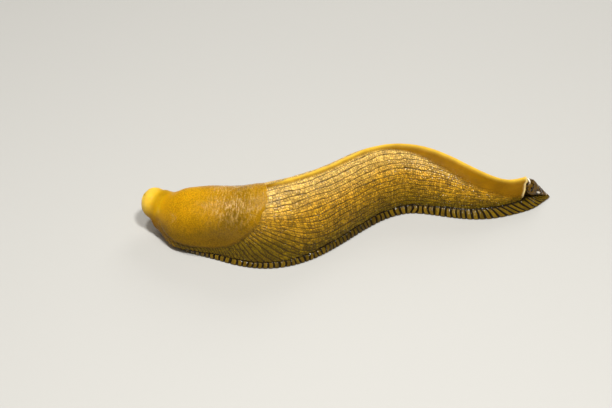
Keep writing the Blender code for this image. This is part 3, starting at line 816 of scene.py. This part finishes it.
def slug_skin_material(colours):
    """Slug skin, alive and wet: soft tissue that lets a little light in, under a thin coat of mucus.

    The eye sees ridges of small cells with dark creases between them, and small broken highlights.
    """
    material, tree, shader, value = new_material(
        "wet_slug_skin", "ridge", "run", "net", "cells", "band", "keel", "tone", "head", "pale_snout_and_highlight", "chin",
        "rim", "fan", "crease", "film",
    )
    place = add(tree, "ShaderNodeTexCoord").outputs["Object"]

    # Dark lines: full at the bottom of a groove, gone about 0.25 mm from it, wider where the grooves crowd.
    to_groove = add(tree, "ShaderNodeMath", {0: value["ridge"], 1: 0.5}, operation="PINGPONG").outputs[0]
    width = add(
        tree, "ShaderNodeMath", {0: value["fan"], 1: 0.13, 2: 0.15}, operation="MULTIPLY_ADD"
    ).outputs[0]
    groove_line = add(
        tree, "ShaderNodeMapRange",
        {"Value": to_groove, "From Min": 0.01, "From Max": width, "To Min": 1.0, "To Max": 0.0},
        interpolation_type="SMOOTHSTEP",
    ).outputs[0]
    groove_line = add(
        tree, "ShaderNodeMath", {0: groove_line, 1: value["net"]}, operation="MULTIPLY"
    ).outputs[0]
    crease = cell_crease(tree, value["ridge"], value["run"])
    dip = add(tree, "ShaderNodeMath", {0: crease, 1: value["cells"]}, operation="MULTIPLY").outputs[0]
    cross_line = add(tree, "ShaderNodeMath", {0: dip, 1: 0.72}, operation="MULTIPLY").outputs[0]
    noise = add(tree, "ShaderNodeTexNoise", {"Vector": place, "Scale": 420.0, "Detail": 4.0}).outputs["Fac"]
    broken = []
    for line, least in ((groove_line, 0.75), (cross_line, 0.3)):
        patchy = add(
            tree, "ShaderNodeMapRange", {"Value": noise, "From Min": 0.4, "From Max": 0.6, "To Min": least}
        ).outputs[0]
        broken.append(add(tree, "ShaderNodeMath", {0: line, 1: patchy}, operation="MULTIPLY").outputs[0])
    lines = add(tree, "ShaderNodeMath", {0: broken[0], 1: broken[1]}, operation="MAXIMUM").outputs[0]

    # Flesh tones from the back down to the groove over the foot: tan, gold and olive of the skin, with a
    # painted sheen in the pale upper tan and painted shade in the dark lower olive.
    ramp = add(tree, "ShaderNodeValToRGB", {"Fac": value["tone"]})
    stops = ramp.color_ramp.elements
    stops[0].position, stops[0].color = 0.12, (*colours.upper, 1)
    stops[1].position, stops[1].color = 0.95, (*colours.lower, 1)
    middle = stops.new(0.5)
    middle.color = (*colours.middle, 1)
    flesh = ramp.outputs["Color"]
    # Mixed in by their masks: chin is painted shade under the head and in the groove behind it, in the
    # band's colour, and the snout's pale yellow is partly a painted highlight.
    for mask, colour in (
        ("band", colours.band), ("keel", colours.keel), ("head", colours.head), ("chin", colours.band),
        ("pale_snout_and_highlight", linear("F2CA52")), ("rim", linear("E0C888")),
    ):
        flesh = add(
            tree, "ShaderNodeMix", {0: value[mask], 6: flesh, 7: (*colour, 1)}, data_type="RGBA"
        ).outputs[2]

    # Mottling of a few millimetres, grain of about 0.3 mm, and a tone of its own for each tubercle.
    mottle = add(tree, "ShaderNodeTexNoise", {"Vector": place, "Scale": 260.0, "Detail": 4.0}).outputs["Fac"]
    grain = add(tree, "ShaderNodeTexVoronoi", {"Vector": place, "Scale": 3600.0}).outputs["Distance"]
    tint = tubercle(tree, value["ridge"], value["run"], "F1").outputs["Color"]
    flesh = toned(tree, flesh, mottle, (0.3, 0.7), (0.84, 1.16))
    flesh = toned(tree, flesh, grain, (0.1, 0.8), (1.34, 0.5), value["net"])
    flesh = toned(tree, flesh, tint, (0.25, 0.75), (0.7, 1.4), value["cells"])
    # The dark grooves and cells, and the painted shade of the crease mask, take the line colour.
    dark = add(tree, "ShaderNodeMath", {0: lines, 1: value["crease"]}, operation="MAXIMUM").outputs[0]
    dark = add(tree, "ShaderNodeMath", {0: dark, 1: 0.95}, operation="MULTIPLY").outputs[0]
    flesh = add(
        tree, "ShaderNodeMix", {0: dark, 6: flesh, 7: (*colours.line, 1)}, data_type="RGBA"
    ).outputs[2]

    # The bump sharpens the creases of the mesh by another 0.14 mm, with finer grain on the cells.
    dome = add(tree, "ShaderNodeMath", {0: 1.0, 1: dip}, operation="SUBTRACT").outputs[0]
    fine = add(tree, "ShaderNodeMath", {0: grain, 1: 0.3, 2: dome}, operation="MULTIPLY_ADD").outputs[0]
    bump = add(tree, "ShaderNodeBump", {"Height": fine, "Distance": 0.00014, "Strength": 0.9}).outputs[0]
    wet_surface(tree, shader, flesh, bump, WET_FLESH)
    tree.links.new(value["film"], shader.inputs["Coat Weight"])
    return material


def foot_section(s, front, end):
    """Half a row of the foot for each s, from the middle of the sole, round the edge and in over the top.

    front and end are the foot's roundings. It gives the half width of the edge, how far across and up each
    point is, its level from 0 on the sole to 1 at the top, and 1 where it is on the face of the fringe.
    """
    width, waist, _, _, groove = body_sizes(s)
    width = np.maximum(width * front * end, 0.02)
    over = rise(s, station_at(RIM_TOP) - 2.6, 3.0)
    top = (groove - 0.12) * (0.3 + 0.7 * front) * (0.25 + 0.75 * end) - over * 0.12 * groove * end
    inner = np.minimum(waist - 0.25, width + 0.8) * np.clip(end + 0.05, 0, 1) * (1 - 0.7 * over)
    bevel = np.minimum(FOOT_BEVEL, width / 3)
    width, inner, bevel, top, front, end = (row[:, None] for row in (width, inner, bevel, top, front, end))

    sole = np.linspace(0, 1, SOLE_POINTS + 1)[:-1]
    corner = np.linspace(-math.pi / 2, 0, CORNER_POINTS)
    face = np.linspace(0, 1, FACE_POINTS + 1)[1:]
    turn_in = np.linspace(0, 1, TOP_POINTS + 1)[1:]
    across = np.concatenate((
        width * sole - bevel * sole,
        (width - bevel) + bevel * np.cos(corner),
        width + (inner - width) * face ** 1.3,
        inner - np.minimum(0.9, inner / 2) * turn_in,
    ), axis=1)
    up = np.concatenate((
        np.zeros((len(s), SOLE_POINTS)),
        bevel + bevel * np.sin(corner),
        bevel + (top - bevel) * face,
        top + 0.25 * np.sin(turn_in * math.pi / 2) * front * end,
    ), axis=1)
    level = np.concatenate((
        np.zeros(SOLE_POINTS), np.linspace(0, 0.1, CORNER_POINTS), 0.1 + 0.9 * face, np.ones(TOP_POINTS),
    ))
    on_face = np.concatenate((
        np.zeros(SOLE_POINTS), np.linspace(0, 1, CORNER_POINTS), 1 - rise(face, 0.86, 0.14),
        np.zeros(TOP_POINTS),
    ))
    return width, across, up, level, on_face


def whole_rows(right, left):
    """Rows round the foot from the halves of its two sides: out and up the right one, back down the left."""
    return np.concatenate((right, left[..., ::-1]), axis=-1)


def build_foot_skin(sizes, colours):
    """The foot: a flat sole and, on each side, a fringe that bulges between folds and turns in at its top.

    The folds are lines where the length of the edge is a whole number of pitches, read further back the
    higher a point is, so that they lean towards the head and fan out round the tail.
    """
    near, far = FOOT_CROWDED
    s = np.concatenate((
        FOOT_START + near * np.linspace(0.02, 1, FOOT_CROWDED_ROWS)[:-1] ** 2,
        np.linspace(FOOT_START + near, LENGTH - far, FOOT_ROWS)[:-1],
        LENGTH - far * np.linspace(1, 0.02, FOOT_CROWDED_ROWS) ** 2,
    ))
    front = np.sqrt(1 - np.clip(1 - (s - FOOT_START) / FOOT_FRONT_ROUNDING, 0, 1) ** 2)
    end = np.sqrt(1 - np.clip((s - LENGTH + FOOT_END_ROUNDING) / FOOT_END_ROUNDING, 0, 1) ** 2)
    width, across, up, level, on_face = foot_section(s, front, end)

    pitch = sizes.stripe_pitch / MM
    wider = 1 + 0.2 * rise(s[1:], station_at(42), 10) - 0.13 * bell(s[1:], station_at(2), 16)
    lean = sum((more * rise(s, station_at(x), long) for more, x, long in MORE_LEAN), FOLD_LEAN)
    read = s[:, None] + lean[:, None] * level
    phases = []
    for way, seed in ((1, 21), (-1, 22)):
        edge = placed(s, way * width, np.zeros(width.shape))[:, 0]
        folds = np.linalg.norm(np.diff(edge, axis=0), axis=1) / (pitch * wider)
        phase = np.interp(read, s, np.append(0.0, np.cumsum(folds)))
        phase = phase + np.maximum(read - LENGTH, 0) / pitch
        phase += 0.4 * drift(phase / 2.3, level * 1.5 + 0 * phase, seed)
        phases.append(phase)

    stripe = whole_rows(*phases)
    across = whole_rows(across, -across)
    level = np.broadcast_to(whole_rows(level, level), stripe.shape)
    on_face = np.broadcast_to(whole_rows(on_face, on_face), stripe.shape)
    base = placed(s, across, whole_rows(up, up))
    row = len(s) // 2
    widest = np.abs(across[row]).argmax()
    outward = base[row, widest] - base[row].mean(axis=0)
    normals = facing(grid_normals(base, True), (row, widest), outward)
    fade = (front * end)[:, None]
    gap = to_line(stripe)
    lobe = 0.13 * np.sin(math.pi * np.clip(level, 0, 1)) + 0.10 * (1 - (1 - 2 * gap) ** 4)
    height = (lobe - (sizes.stripe_depth / MM) * (1 - rise(gap, 0.02, 0.17))) * on_face * fade
    height += 0.03 * drift(stripe * 3, level * 5, 23) * on_face * fade
    points = base + normals * height[..., None]
    points[..., 2] = np.where(level == 0, 0.0, np.maximum(points[..., 2], 0.0))
    # Painted shade on the fringe under the overhanging flank near the front, and a darker fringe towards the
    # tail.
    shade = 0.6 * bell(s, station_at(8), 20) + 0.2 * rise(s, station_at(48), 12)
    shade = np.broadcast_to(shade[:, None], stripe.shape)
    attributes = {"stripe": stripe, "level": level, "face": on_face, "shade": shade}
    return skin_mesh("foot_skin", points, (None, None), attributes, foot_skin_material(colours))


def foot_skin_material(colours):
    """Muscular skin of the foot, wet: firm lobes with near-black folds, glossier than the flank above."""
    material, tree, shader, value = new_material("wet_foot_skin", "stripe", "level", "face", "shade")
    place = add(tree, "ShaderNodeTexCoord").outputs["Object"]
    to_fold = add(tree, "ShaderNodeMath", {0: value["stripe"], 1: 0.5}, operation="PINGPONG").outputs[0]
    # The dark line along a fold is about 0.7 mm wide.
    fold = add(
        tree, "ShaderNodeMapRange",
        {"Value": to_fold, "From Min": 0.14, "From Max": 0.29, "To Min": 1.0, "To Max": 0.0},
        interpolation_type="SMOOTHSTEP",
    ).outputs[0]
    lobe = add(
        tree, "ShaderNodeTexNoise", {"W": value["stripe"], "Scale": 1.3, "Detail": 2.0},
        noise_dimensions="1D",
    ).outputs["Fac"]
    # Some lobes have a finer fold in the middle.
    split = add(
        tree, "ShaderNodeMapRange",
        {"Value": to_fold, "From Min": 0.42, "From Max": 0.5, "To Min": 0.0, "To Max": 0.7},
        interpolation_type="SMOOTHSTEP",
    ).outputs[0]
    uneven = add(tree, "ShaderNodeMapRange", {"Value": lobe, "From Min": 0.4, "From Max": 0.6}).outputs[0]
    split = add(tree, "ShaderNodeMath", {0: split, 1: uneven}, operation="MULTIPLY").outputs[0]
    fold = add(tree, "ShaderNodeMath", {0: fold, 1: split}, operation="MAXIMUM").outputs[0]
    fold = add(tree, "ShaderNodeMath", {0: fold, 1: value["face"]}, operation="MULTIPLY").outputs[0]
    # Painted shade along the top of the fringe, in the groove under the flank.
    top = add(
        tree, "ShaderNodeMapRange", {"Value": value["level"], "From Min": 0.76, "From Max": 0.96},
        interpolation_type="SMOOTHSTEP",
    ).outputs[0]
    dark = add(tree, "ShaderNodeMath", {0: fold, 1: top}, operation="MAXIMUM").outputs[0]
    # The fringe's painted shade darkens it towards the stripes' colour.
    dark = add(tree, "ShaderNodeMath", {0: dark, 1: value["shade"]}, operation="MAXIMUM").outputs[0]
    mottle = add(tree, "ShaderNodeTexNoise", {"Vector": place, "Scale": 500.0, "Detail": 4.0}).outputs["Fac"]
    mottle = add(tree, "ShaderNodeMath", {0: mottle, 1: lobe}, operation="ADD").outputs[0]
    flesh = toned(tree, (*colours.fringe, 1), mottle, (0.75, 1.25), (0.55, 1.25))
    flesh = add(
        tree, "ShaderNodeMix", {0: dark, 6: flesh, 7: (*colours.stripe, 1)}, data_type="RGBA"
    ).outputs[2]
    grain = add(tree, "ShaderNodeTexVoronoi", {"Vector": place, "Scale": 3000.0}).outputs["Distance"]
    bump = add(tree, "ShaderNodeBump", {"Height": grain, "Distance": 0.00008, "Strength": 0.9}).outputs[0]
    wet_surface(tree, shader, flesh, bump, WET_FLESH)
    return material


def even_outline(x, y, s_middle, count):
    """Resamples a closed outline, given as s from its middle and f, at even distances on the body."""
    span = y * half_girth(s_middle + x)
    step = np.hypot(np.diff(x, append=x[:1]), np.diff(span, append=span[:1]))
    run = np.append(0.0, np.cumsum(step))
    at = np.linspace(0, run[-1], count, endpoint=False)
    return np.interp(at, run, np.append(x, x[0])), np.interp(at, run, np.append(y, y[0]))


def mantle_outline():
    """The mantle's outline, as s from its middle and f: two half ovals, |x| ^ n + |y| ^ n = 1, joined."""
    angle = np.linspace(0, 2 * math.pi, 6000, endpoint=False)
    power = 2 / np.where(np.cos(angle) < 0, MANTLE_FRONT_OUTLINE, MANTLE_REAR_OUTLINE)
    ahead = powered(np.cos(angle), power)
    x = ahead * np.where(ahead < 0, MANTLE_FRONT_REACH, MANTLE_REAR_REACH)
    y = powered(np.sin(angle), power) * (MANTLE_GIRTH + MANTLE_FRONT_DROP * np.maximum(-ahead, 0))
    return even_outline(x, y, MANTLE_MIDDLE, MANTLE_POINTS)


def mantle_relief(sizes, s, f, girth, hole, crinkled):
    """Height of the mantle's grain, folds and crinkles, and of the breathing hole, its rim and its notch."""
    grain = sizes.grain_size / MM
    fine = drift(s / grain, f * girth / grain + 60, 31) * 0.6
    fine += drift(s / grain * 2, f * girth / grain * 2 + 90, 32) * 0.4
    broad = drift(s / 5.0, f * girth / 4.0 + 30, 33)
    folds = drift(s / 1.6, f * girth / 9.0 + 50, 34)
    crinkle = drift(s / 0.35, f * girth / 1.5 + 70, 35) * crinkled
    hole_s, hole_f = BREATHING_HOLE_PLACE
    slit = np.maximum(f - hole_f, 0) * girth
    notch = bell(s, hole_s, 0.45) * (1 - rise(slit, 3.5, 2.0)) * (f > hole_f)
    relief = 0.02 * fine + 0.12 * broad + 0.03 * folds + 0.055 * crinkle + 0.22 * bell(hole, 1.5, 0.5)
    return relief - np.exp(-(hole / 0.95) ** 4) - 0.5 * notch


def build_mantle_skin(sizes, colours):
    """The mantle: rings of one outline, scaled about its middle, with a lip that rounds down and under."""
    x, y = mantle_outline()
    on_top, on_lip, below = MANTLE_RINGS
    lip_turn = np.linspace(0, math.pi / 2, on_lip)
    scale = np.concatenate((
        np.linspace(0, 1, on_top + 2)[1:-1] * (1 - MANTLE_LIP_SHARE),
        1 - MANTLE_LIP_SHARE * (1 - np.sin(lip_turn)),
        np.linspace(1, 0.88, below + 1)[1:],
    ))
    offset = np.concatenate((
        np.full(on_top, MANTLE_PROUD),
        MANTLE_PROUD - MANTLE_LIP * (1 - np.cos(lip_turn)),
        np.full(below, -MANTLE_DEPTH),
    ))
    outer = np.concatenate((np.ones(on_top + on_lip), np.zeros(below)))[:, None]
    reach = np.broadcast_to(scale[:, None], (len(scale), len(x)))
    uneven = 1 - margin_wave(MANTLE_MIDDLE + x, y) * rise(reach, 0.6, 0.4)
    s = MANTLE_MIDDLE + x * reach * uneven
    f = y * reach * uneven
    girth = half_girth(s)
    hole = np.hypot(s - BREATHING_HOLE_PLACE[0], (f - BREATHING_HOLE_PLACE[1]) * girth)
    crinkled = rise(s, 10, 8) * (1 - rise(np.abs(f), 0.5, 0.3))

    # The mantle thins to its front margin, where it runs into the neck with no step.
    ahead = np.clip((MANTLE_MIDDLE - s) / MANTLE_FRONT_REACH, 0, 1)
    flush = rise(ahead, 0.6, 0.3) * (1 - rise(np.abs(f), 0.68, 0.2))
    flush_height = MANTLE_PROUD * (1 - rise(reach, 0.5, 0.46)) - 0.2 * rise(reach, 0.92, 0.08)
    height = np.where(outer > 0, offset[:, None] * (1 - flush) + flush_height * flush, offset[:, None])
    height -= 0.28 * rise(reach, 0.7, 0.25) * (s > MANTLE_MIDDLE) * outer
    relief = mantle_relief(sizes, s, f, girth, hole, crinkled)
    height = height + outer * relief * (1 - flush * rise(reach, 0.75, 0.2))
    points = on_body(s, f, height)
    floor = on_body(s[-1].mean(keepdims=True), np.zeros(1), np.full(1, -MANTLE_DEPTH))[0]
    crown = points[0].mean(axis=0)

    # Browner to the rear and in a patch behind the middle of each side; darker lower down, most at the
    # front, which is painted shade.
    low = rise(np.abs(f), 0.3, 0.6)
    brown_and_shade = 0.4 * rise(s, 8, 16) + 0.8 * low + 0.4 * bell(s, 23, 4.5) * bell(np.abs(f), 0.42, 0.2)
    brown_and_shade += 0.35 * low * (1 - rise(s, 10, 12))
    attributes = {
        "brown_and_shade": brown_and_shade,
        # Painted shade inside the breathing hole.
        "hole": np.exp(-(hole / 0.9) ** 4) * outer,
        "head": 1 - rise(s, *HEAD_TONE),
        # Painted shade of the groove between head and mantle.
        "neck": neck_shade(s, f),
        "crinkled": crinkled,
        "film": 0.25 + 0.65 * crinkled * (1 - 0.65 * rise(s, 23, 5)),
        # pale: the patch where the crinkles' crests get a painted sheen.
        "pale": bell(s, 22, 6.5) * bell(np.abs(f), 0.25, 0.2),
        "grain": rise(s, 0, 7),
    }
    return skin_mesh("mantle_skin", points, (crown, floor), attributes, mantle_material(colours))


def mantle_material(colours):
    """The mantle's skin, alive and wet: finely granular, more even and warmer than the flank."""
    material, tree, shader, value = new_material(
        "wet_mantle_skin", "brown_and_shade", "hole", "head", "neck", "crinkled", "film", "pale", "grain"
    )
    place = add(tree, "ShaderNodeTexCoord").outputs["Object"]
    # Soft clouds a few millimetres wide.
    cloud = add(tree, "ShaderNodeTexNoise", {"Vector": place, "Scale": 150.0, "Detail": 4.0}).outputs["Fac"]
    brown_and_shade = add(
        tree, "ShaderNodeMath", {0: cloud, 1: 0.9, 2: value["brown_and_shade"]}, operation="MULTIPLY_ADD"
    ).outputs[0]
    brown_and_shade = add(
        tree, "ShaderNodeMapRange", {"Value": brown_and_shade, "From Min": 0.35, "From Max": 1.35}
    ).outputs[0]
    # Crinkles under a millimetre apart run across the body and break the highlights into flecks. In a patch
    # behind the middle their crests are painted pale, a painted sheen.
    across = add(
        tree, "ShaderNodeVectorMath", {0: place, 1: (1900.0, 700.0, 700.0)}, operation="MULTIPLY"
    ).outputs[0]
    crinkle = add(tree, "ShaderNodeTexNoise", {"Vector": across, "Scale": 1.0, "Detail": 3.0}).outputs["Fac"]
    crest_sheen = add(
        tree, "ShaderNodeMapRange", {"Value": crinkle, "From Min": 0.48, "From Max": 0.68, "To Max": 0.8}
    ).outputs[0]
    crest_sheen = add(tree, "ShaderNodeMath", {0: crest_sheen, 1: value["pale"]}, operation="MULTIPLY").outputs[0]
    flesh = (*colours.mantle, 1)
    # Mixed in by their masks: browner tones with painted shade low down, the head's yellow, painted shade of
    # the groove behind the head, and a painted sheen on crinkle crests.
    for mask, colour in (
        (brown_and_shade, colours.mantle_dark), (value["head"], colours.head), (value["neck"], colours.band),
        (crest_sheen, linear("ECC070")),
    ):
        flesh = add(tree, "ShaderNodeMix", {0: mask, 6: flesh, 7: (*colour, 1)}, data_type="RGBA").outputs[2]
    grain = add(tree, "ShaderNodeTexVoronoi", {"Vector": place, "Scale": 2600.0}).outputs["Distance"]
    flesh = toned(tree, flesh, grain, (0.1, 0.75), (1.18, 0.7), value["grain"])
    # The breathing hole is painted dark as shade.
    flesh = add(
        tree, "ShaderNodeMix", {0: value["hole"], 6: flesh, 7: (*colours.stripe, 1)}, data_type="RGBA"
    ).outputs[2]
    crinkle = add(
        tree, "ShaderNodeMath", {0: crinkle, 1: value["crinkled"]}, operation="MULTIPLY"
    ).outputs[0]
    fine = add(tree, "ShaderNodeMath", {0: grain, 1: -0.12, 2: crinkle}, operation="MULTIPLY_ADD").outputs[0]
    bump = add(tree, "ShaderNodeBump", {"Height": fine, "Distance": 0.0004, "Strength": 0.8}).outputs[0]
    wet_surface(tree, shader, flesh, bump, WET_FLESH)
    tree.links.new(value["film"], shader.inputs["Coat Weight"])
    return material


def build_mucus_plug(colours):
    """The plug in the tail pit: rings of a squarish oval on the roof, lumpy on top and flat below."""
    middle = station_at(PLUG_MIDDLE)
    on_top, below = PLUG_RINGS
    turn = np.linspace(0, 2 * math.pi, PLUG_POINTS, endpoint=False)
    x = PLUG_REACH[0] * powered(np.cos(turn), PLUG_POWER)
    y = PLUG_REACH[1] * powered(np.sin(turn), PLUG_POWER)
    scale = np.concatenate((np.linspace(0, 1, on_top + 1)[1:], np.linspace(1, 0, below + 2)[1:-1]))
    outer = np.concatenate((np.ones(on_top), np.zeros(below)))[:, None]
    s = middle + x * scale[:, None]
    f = y * scale[:, None]
    girth = half_girth(s)
    dome = np.sqrt(np.clip(1 - scale ** 8, 0, 1))[:, None]
    lumps = 0.22 * drift(s / 1.3, f * girth / 1.1 + 9, 41)
    lumps += 0.08 * drift(s / 0.4, f * girth / 0.4 + 9, 42)
    offset = np.where(outer > 0, -0.6 + (0.75 + lumps) * dome, -0.6 - 0.8 * dome)
    points = on_body(s, f, offset)
    crown = points[0].mean(axis=0)
    floor = on_body(np.array([middle]), np.zeros(1), np.array([-1.6]))[0]
    # Flecks of white froth and painted glints.
    froth_and_glint = sum(bell(s, station_at(x), long) * bell(f, share, wide) for x, share, long, wide in FROTH_AND_GLINTS)
    attributes = {"froth_and_glint": froth_and_glint * outer}
    return skin_mesh("mucus_plug", points, (crown, floor), attributes, mucus_material(colours))


def mucus_material(colours):
    """Dried and fresh mucus: amber jelly clouded with grit, under a glassy film with sharp highlights."""
    material, tree, shader, value = new_material("amber_mucus", "froth_and_glint")
    place = add(tree, "ShaderNodeTexCoord").outputs["Object"]
    cloud = add(tree, "ShaderNodeTexNoise", {"Vector": place, "Scale": 1100.0, "Detail": 5.0}).outputs["Fac"]
    ramp = add(tree, "ShaderNodeValToRGB", {"Fac": cloud})
    stops = ramp.color_ramp.elements
    stops[0].position, stops[0].color = 0.4, (*linear("140A02"), 1)
    stops[1].position, stops[1].color = 0.48, (*colours.plug, 1)
    # Pale flecks of froth and painted glints.
    froth_and_glint = add(
        tree, "ShaderNodeMapRange", {"Value": value["froth_and_glint"], "From Min": 0.4, "From Max": 0.7}
    ).outputs[0]
    jelly = add(
        tree, "ShaderNodeMix", {0: froth_and_glint, 6: ramp.outputs["Color"], 7: (*linear("E6DCC8"), 1)},
        data_type="RGBA",
    ).outputs[2]
    bump = add(tree, "ShaderNodeBump", {"Height": cloud, "Distance": 0.0003, "Strength": 0.6}).outputs[0]
    wet_surface(tree, shader, jelly, bump, GLASSY_MUCUS)
    return material


def build_stage():
    """A matt pale floor, five soft lamps, a dim warm world and the camera."""
    mesh = bpy.data.meshes.new("floor")
    corners = [(x * FLOOR_HALF, y * FLOOR_HALF, 0) for x, y in ((-1, -1), (1, -1), (1, 1), (-1, 1))]
    mesh.from_pydata(corners, [], [(0, 1, 2, 3)])
    material, _, shader, _ = new_material("matt_paper")
    shader.inputs["Base Color"].default_value = (*linear("BAB8B2"), 1)
    shader.inputs["Roughness"].default_value = 0.9
    mesh.materials.append(material)
    floor = new_object("floor", mesh)

    target = np.array((-ORIGIN_IN_PLAN[0], -ORIGIN_IN_PLAN[1], 0)) * MM
    way = np.array((0, -math.cos(CAMERA_LIFT), math.sin(CAMERA_LIFT)))
    camera_data = bpy.data.cameras.new("camera")
    camera_data.lens = CAMERA_LENS
    camera_data.sensor_width = 36
    camera_data.clip_start = 0.01
    camera = new_object("camera", camera_data)
    camera.location = target + CAMERA_DISTANCE * way
    camera.rotation_euler = (math.pi / 2 - CAMERA_LIFT, 0, 0)
    bpy.context.scene.camera = camera

    for name, place, size, power in LAMPS:
        lamp = bpy.data.lights.new(name, "AREA")
        lamp.size = size
        lamp.energy = power
        light = new_object(name, lamp)
        light.location = place
        x, y, z = (-part for part in place)
        light.rotation_euler = (math.atan2(math.hypot(x, y), -z), 0, math.atan2(y, x) - math.pi / 2)
    world = bpy.data.worlds.new("studio")
    world.use_nodes = True
    background = world.node_tree.nodes["Background"]
    background.inputs["Color"].default_value = (*linear("F0EAE0"), 1)
    background.inputs["Strength"].default_value = 0.16
    bpy.context.scene.world = world
    bpy.context.scene.view_settings.view_transform = "Standard"


class SLUG_OT_body_skin(bpy.types.Operator):
    """Builds the skin of head, trunk and tail"""

    bl_idname = "slug.body_skin"
    bl_label = "Body skin"

    def execute(self, context):
        piece = build_body_skin(context.scene.slug_sizes, context.scene.slug_colours)
        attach(piece, "root")
        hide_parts("head", "trunk_front", "trunk_middle", "trunk_rear", "tail")
        return {"FINISHED"}


class SLUG_OT_foot_skin(bpy.types.Operator):
    """Builds the foot with its striped fringe"""

    bl_idname = "slug.foot_skin"
    bl_label = "Foot"

    def execute(self, context):
        piece = build_foot_skin(context.scene.slug_sizes, context.scene.slug_colours)
        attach(piece, "root")
        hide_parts("foot_front", "foot_middle", "foot_rear", "foot_tail")
        return {"FINISHED"}


class SLUG_OT_mantle_skin(bpy.types.Operator):
    """Builds the mantle with its breathing hole"""

    bl_idname = "slug.mantle_skin"
    bl_label = "Mantle"

    def execute(self, context):
        piece = build_mantle_skin(context.scene.slug_sizes, context.scene.slug_colours)
        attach(piece, "root")
        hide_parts("mantle")
        return {"FINISHED"}


class SLUG_OT_mucus(bpy.types.Operator):
    """Builds the mucus in the tail pit"""

    bl_idname = "slug.mucus"
    bl_label = "Mucus"

    def execute(self, context):
        piece = build_mucus_plug(context.scene.slug_colours)
        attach(piece, "root")
        return {"FINISHED"}


class SLUG_OT_stage(bpy.types.Operator):
    """Builds the floor, the lamps and the camera"""

    bl_idname = "slug.stage"
    bl_label = "Stage"

    def execute(self, context):
        build_stage()
        return {"FINISHED"}


class SLUG_PT_panel(bpy.types.Panel):
    """Lists the pieces of the slug, its sizes and its colours."""

    bl_label = "Banana slug"
    bl_idname = "SLUG_PT_panel"
    bl_space_type = "VIEW_3D"
    bl_region_type = "UI"
    bl_category = "Slug"

    def draw(self, context):
        for operator in OPERATORS:
            self.layout.operator(operator.bl_idname)
        for group in (context.scene.slug_sizes, context.scene.slug_colours):
            column = self.layout.column()
            for label in group.bl_rna.properties.keys():
                if label not in ("rna_type", "name"):
                    column.prop(group, label)


OPERATORS = (SLUG_OT_stage, SLUG_OT_body_skin, SLUG_OT_foot_skin, SLUG_OT_mantle_skin, SLUG_OT_mucus)
CLASSES = (SlugSizes, SlugColours, *OPERATORS, SLUG_PT_panel)


def register():
    for cls in CLASSES:
        bpy.utils.register_class(cls)
    bpy.types.Scene.slug_sizes = bpy.props.PointerProperty(type=SlugSizes)
    bpy.types.Scene.slug_colours = bpy.props.PointerProperty(type=SlugColours)


def unregister():
    del bpy.types.Scene.slug_sizes
    del bpy.types.Scene.slug_colours
    for cls in reversed(CLASSES):
        bpy.utils.unregister_class(cls)


def main():
    register()
    bpy.ops.slug.stage()
    bpy.ops.slug.body_skin()
    bpy.ops.slug.foot_skin()
    bpy.ops.slug.mantle_skin()
    bpy.ops.slug.mucus()


if __name__ == "__main__":
    main()
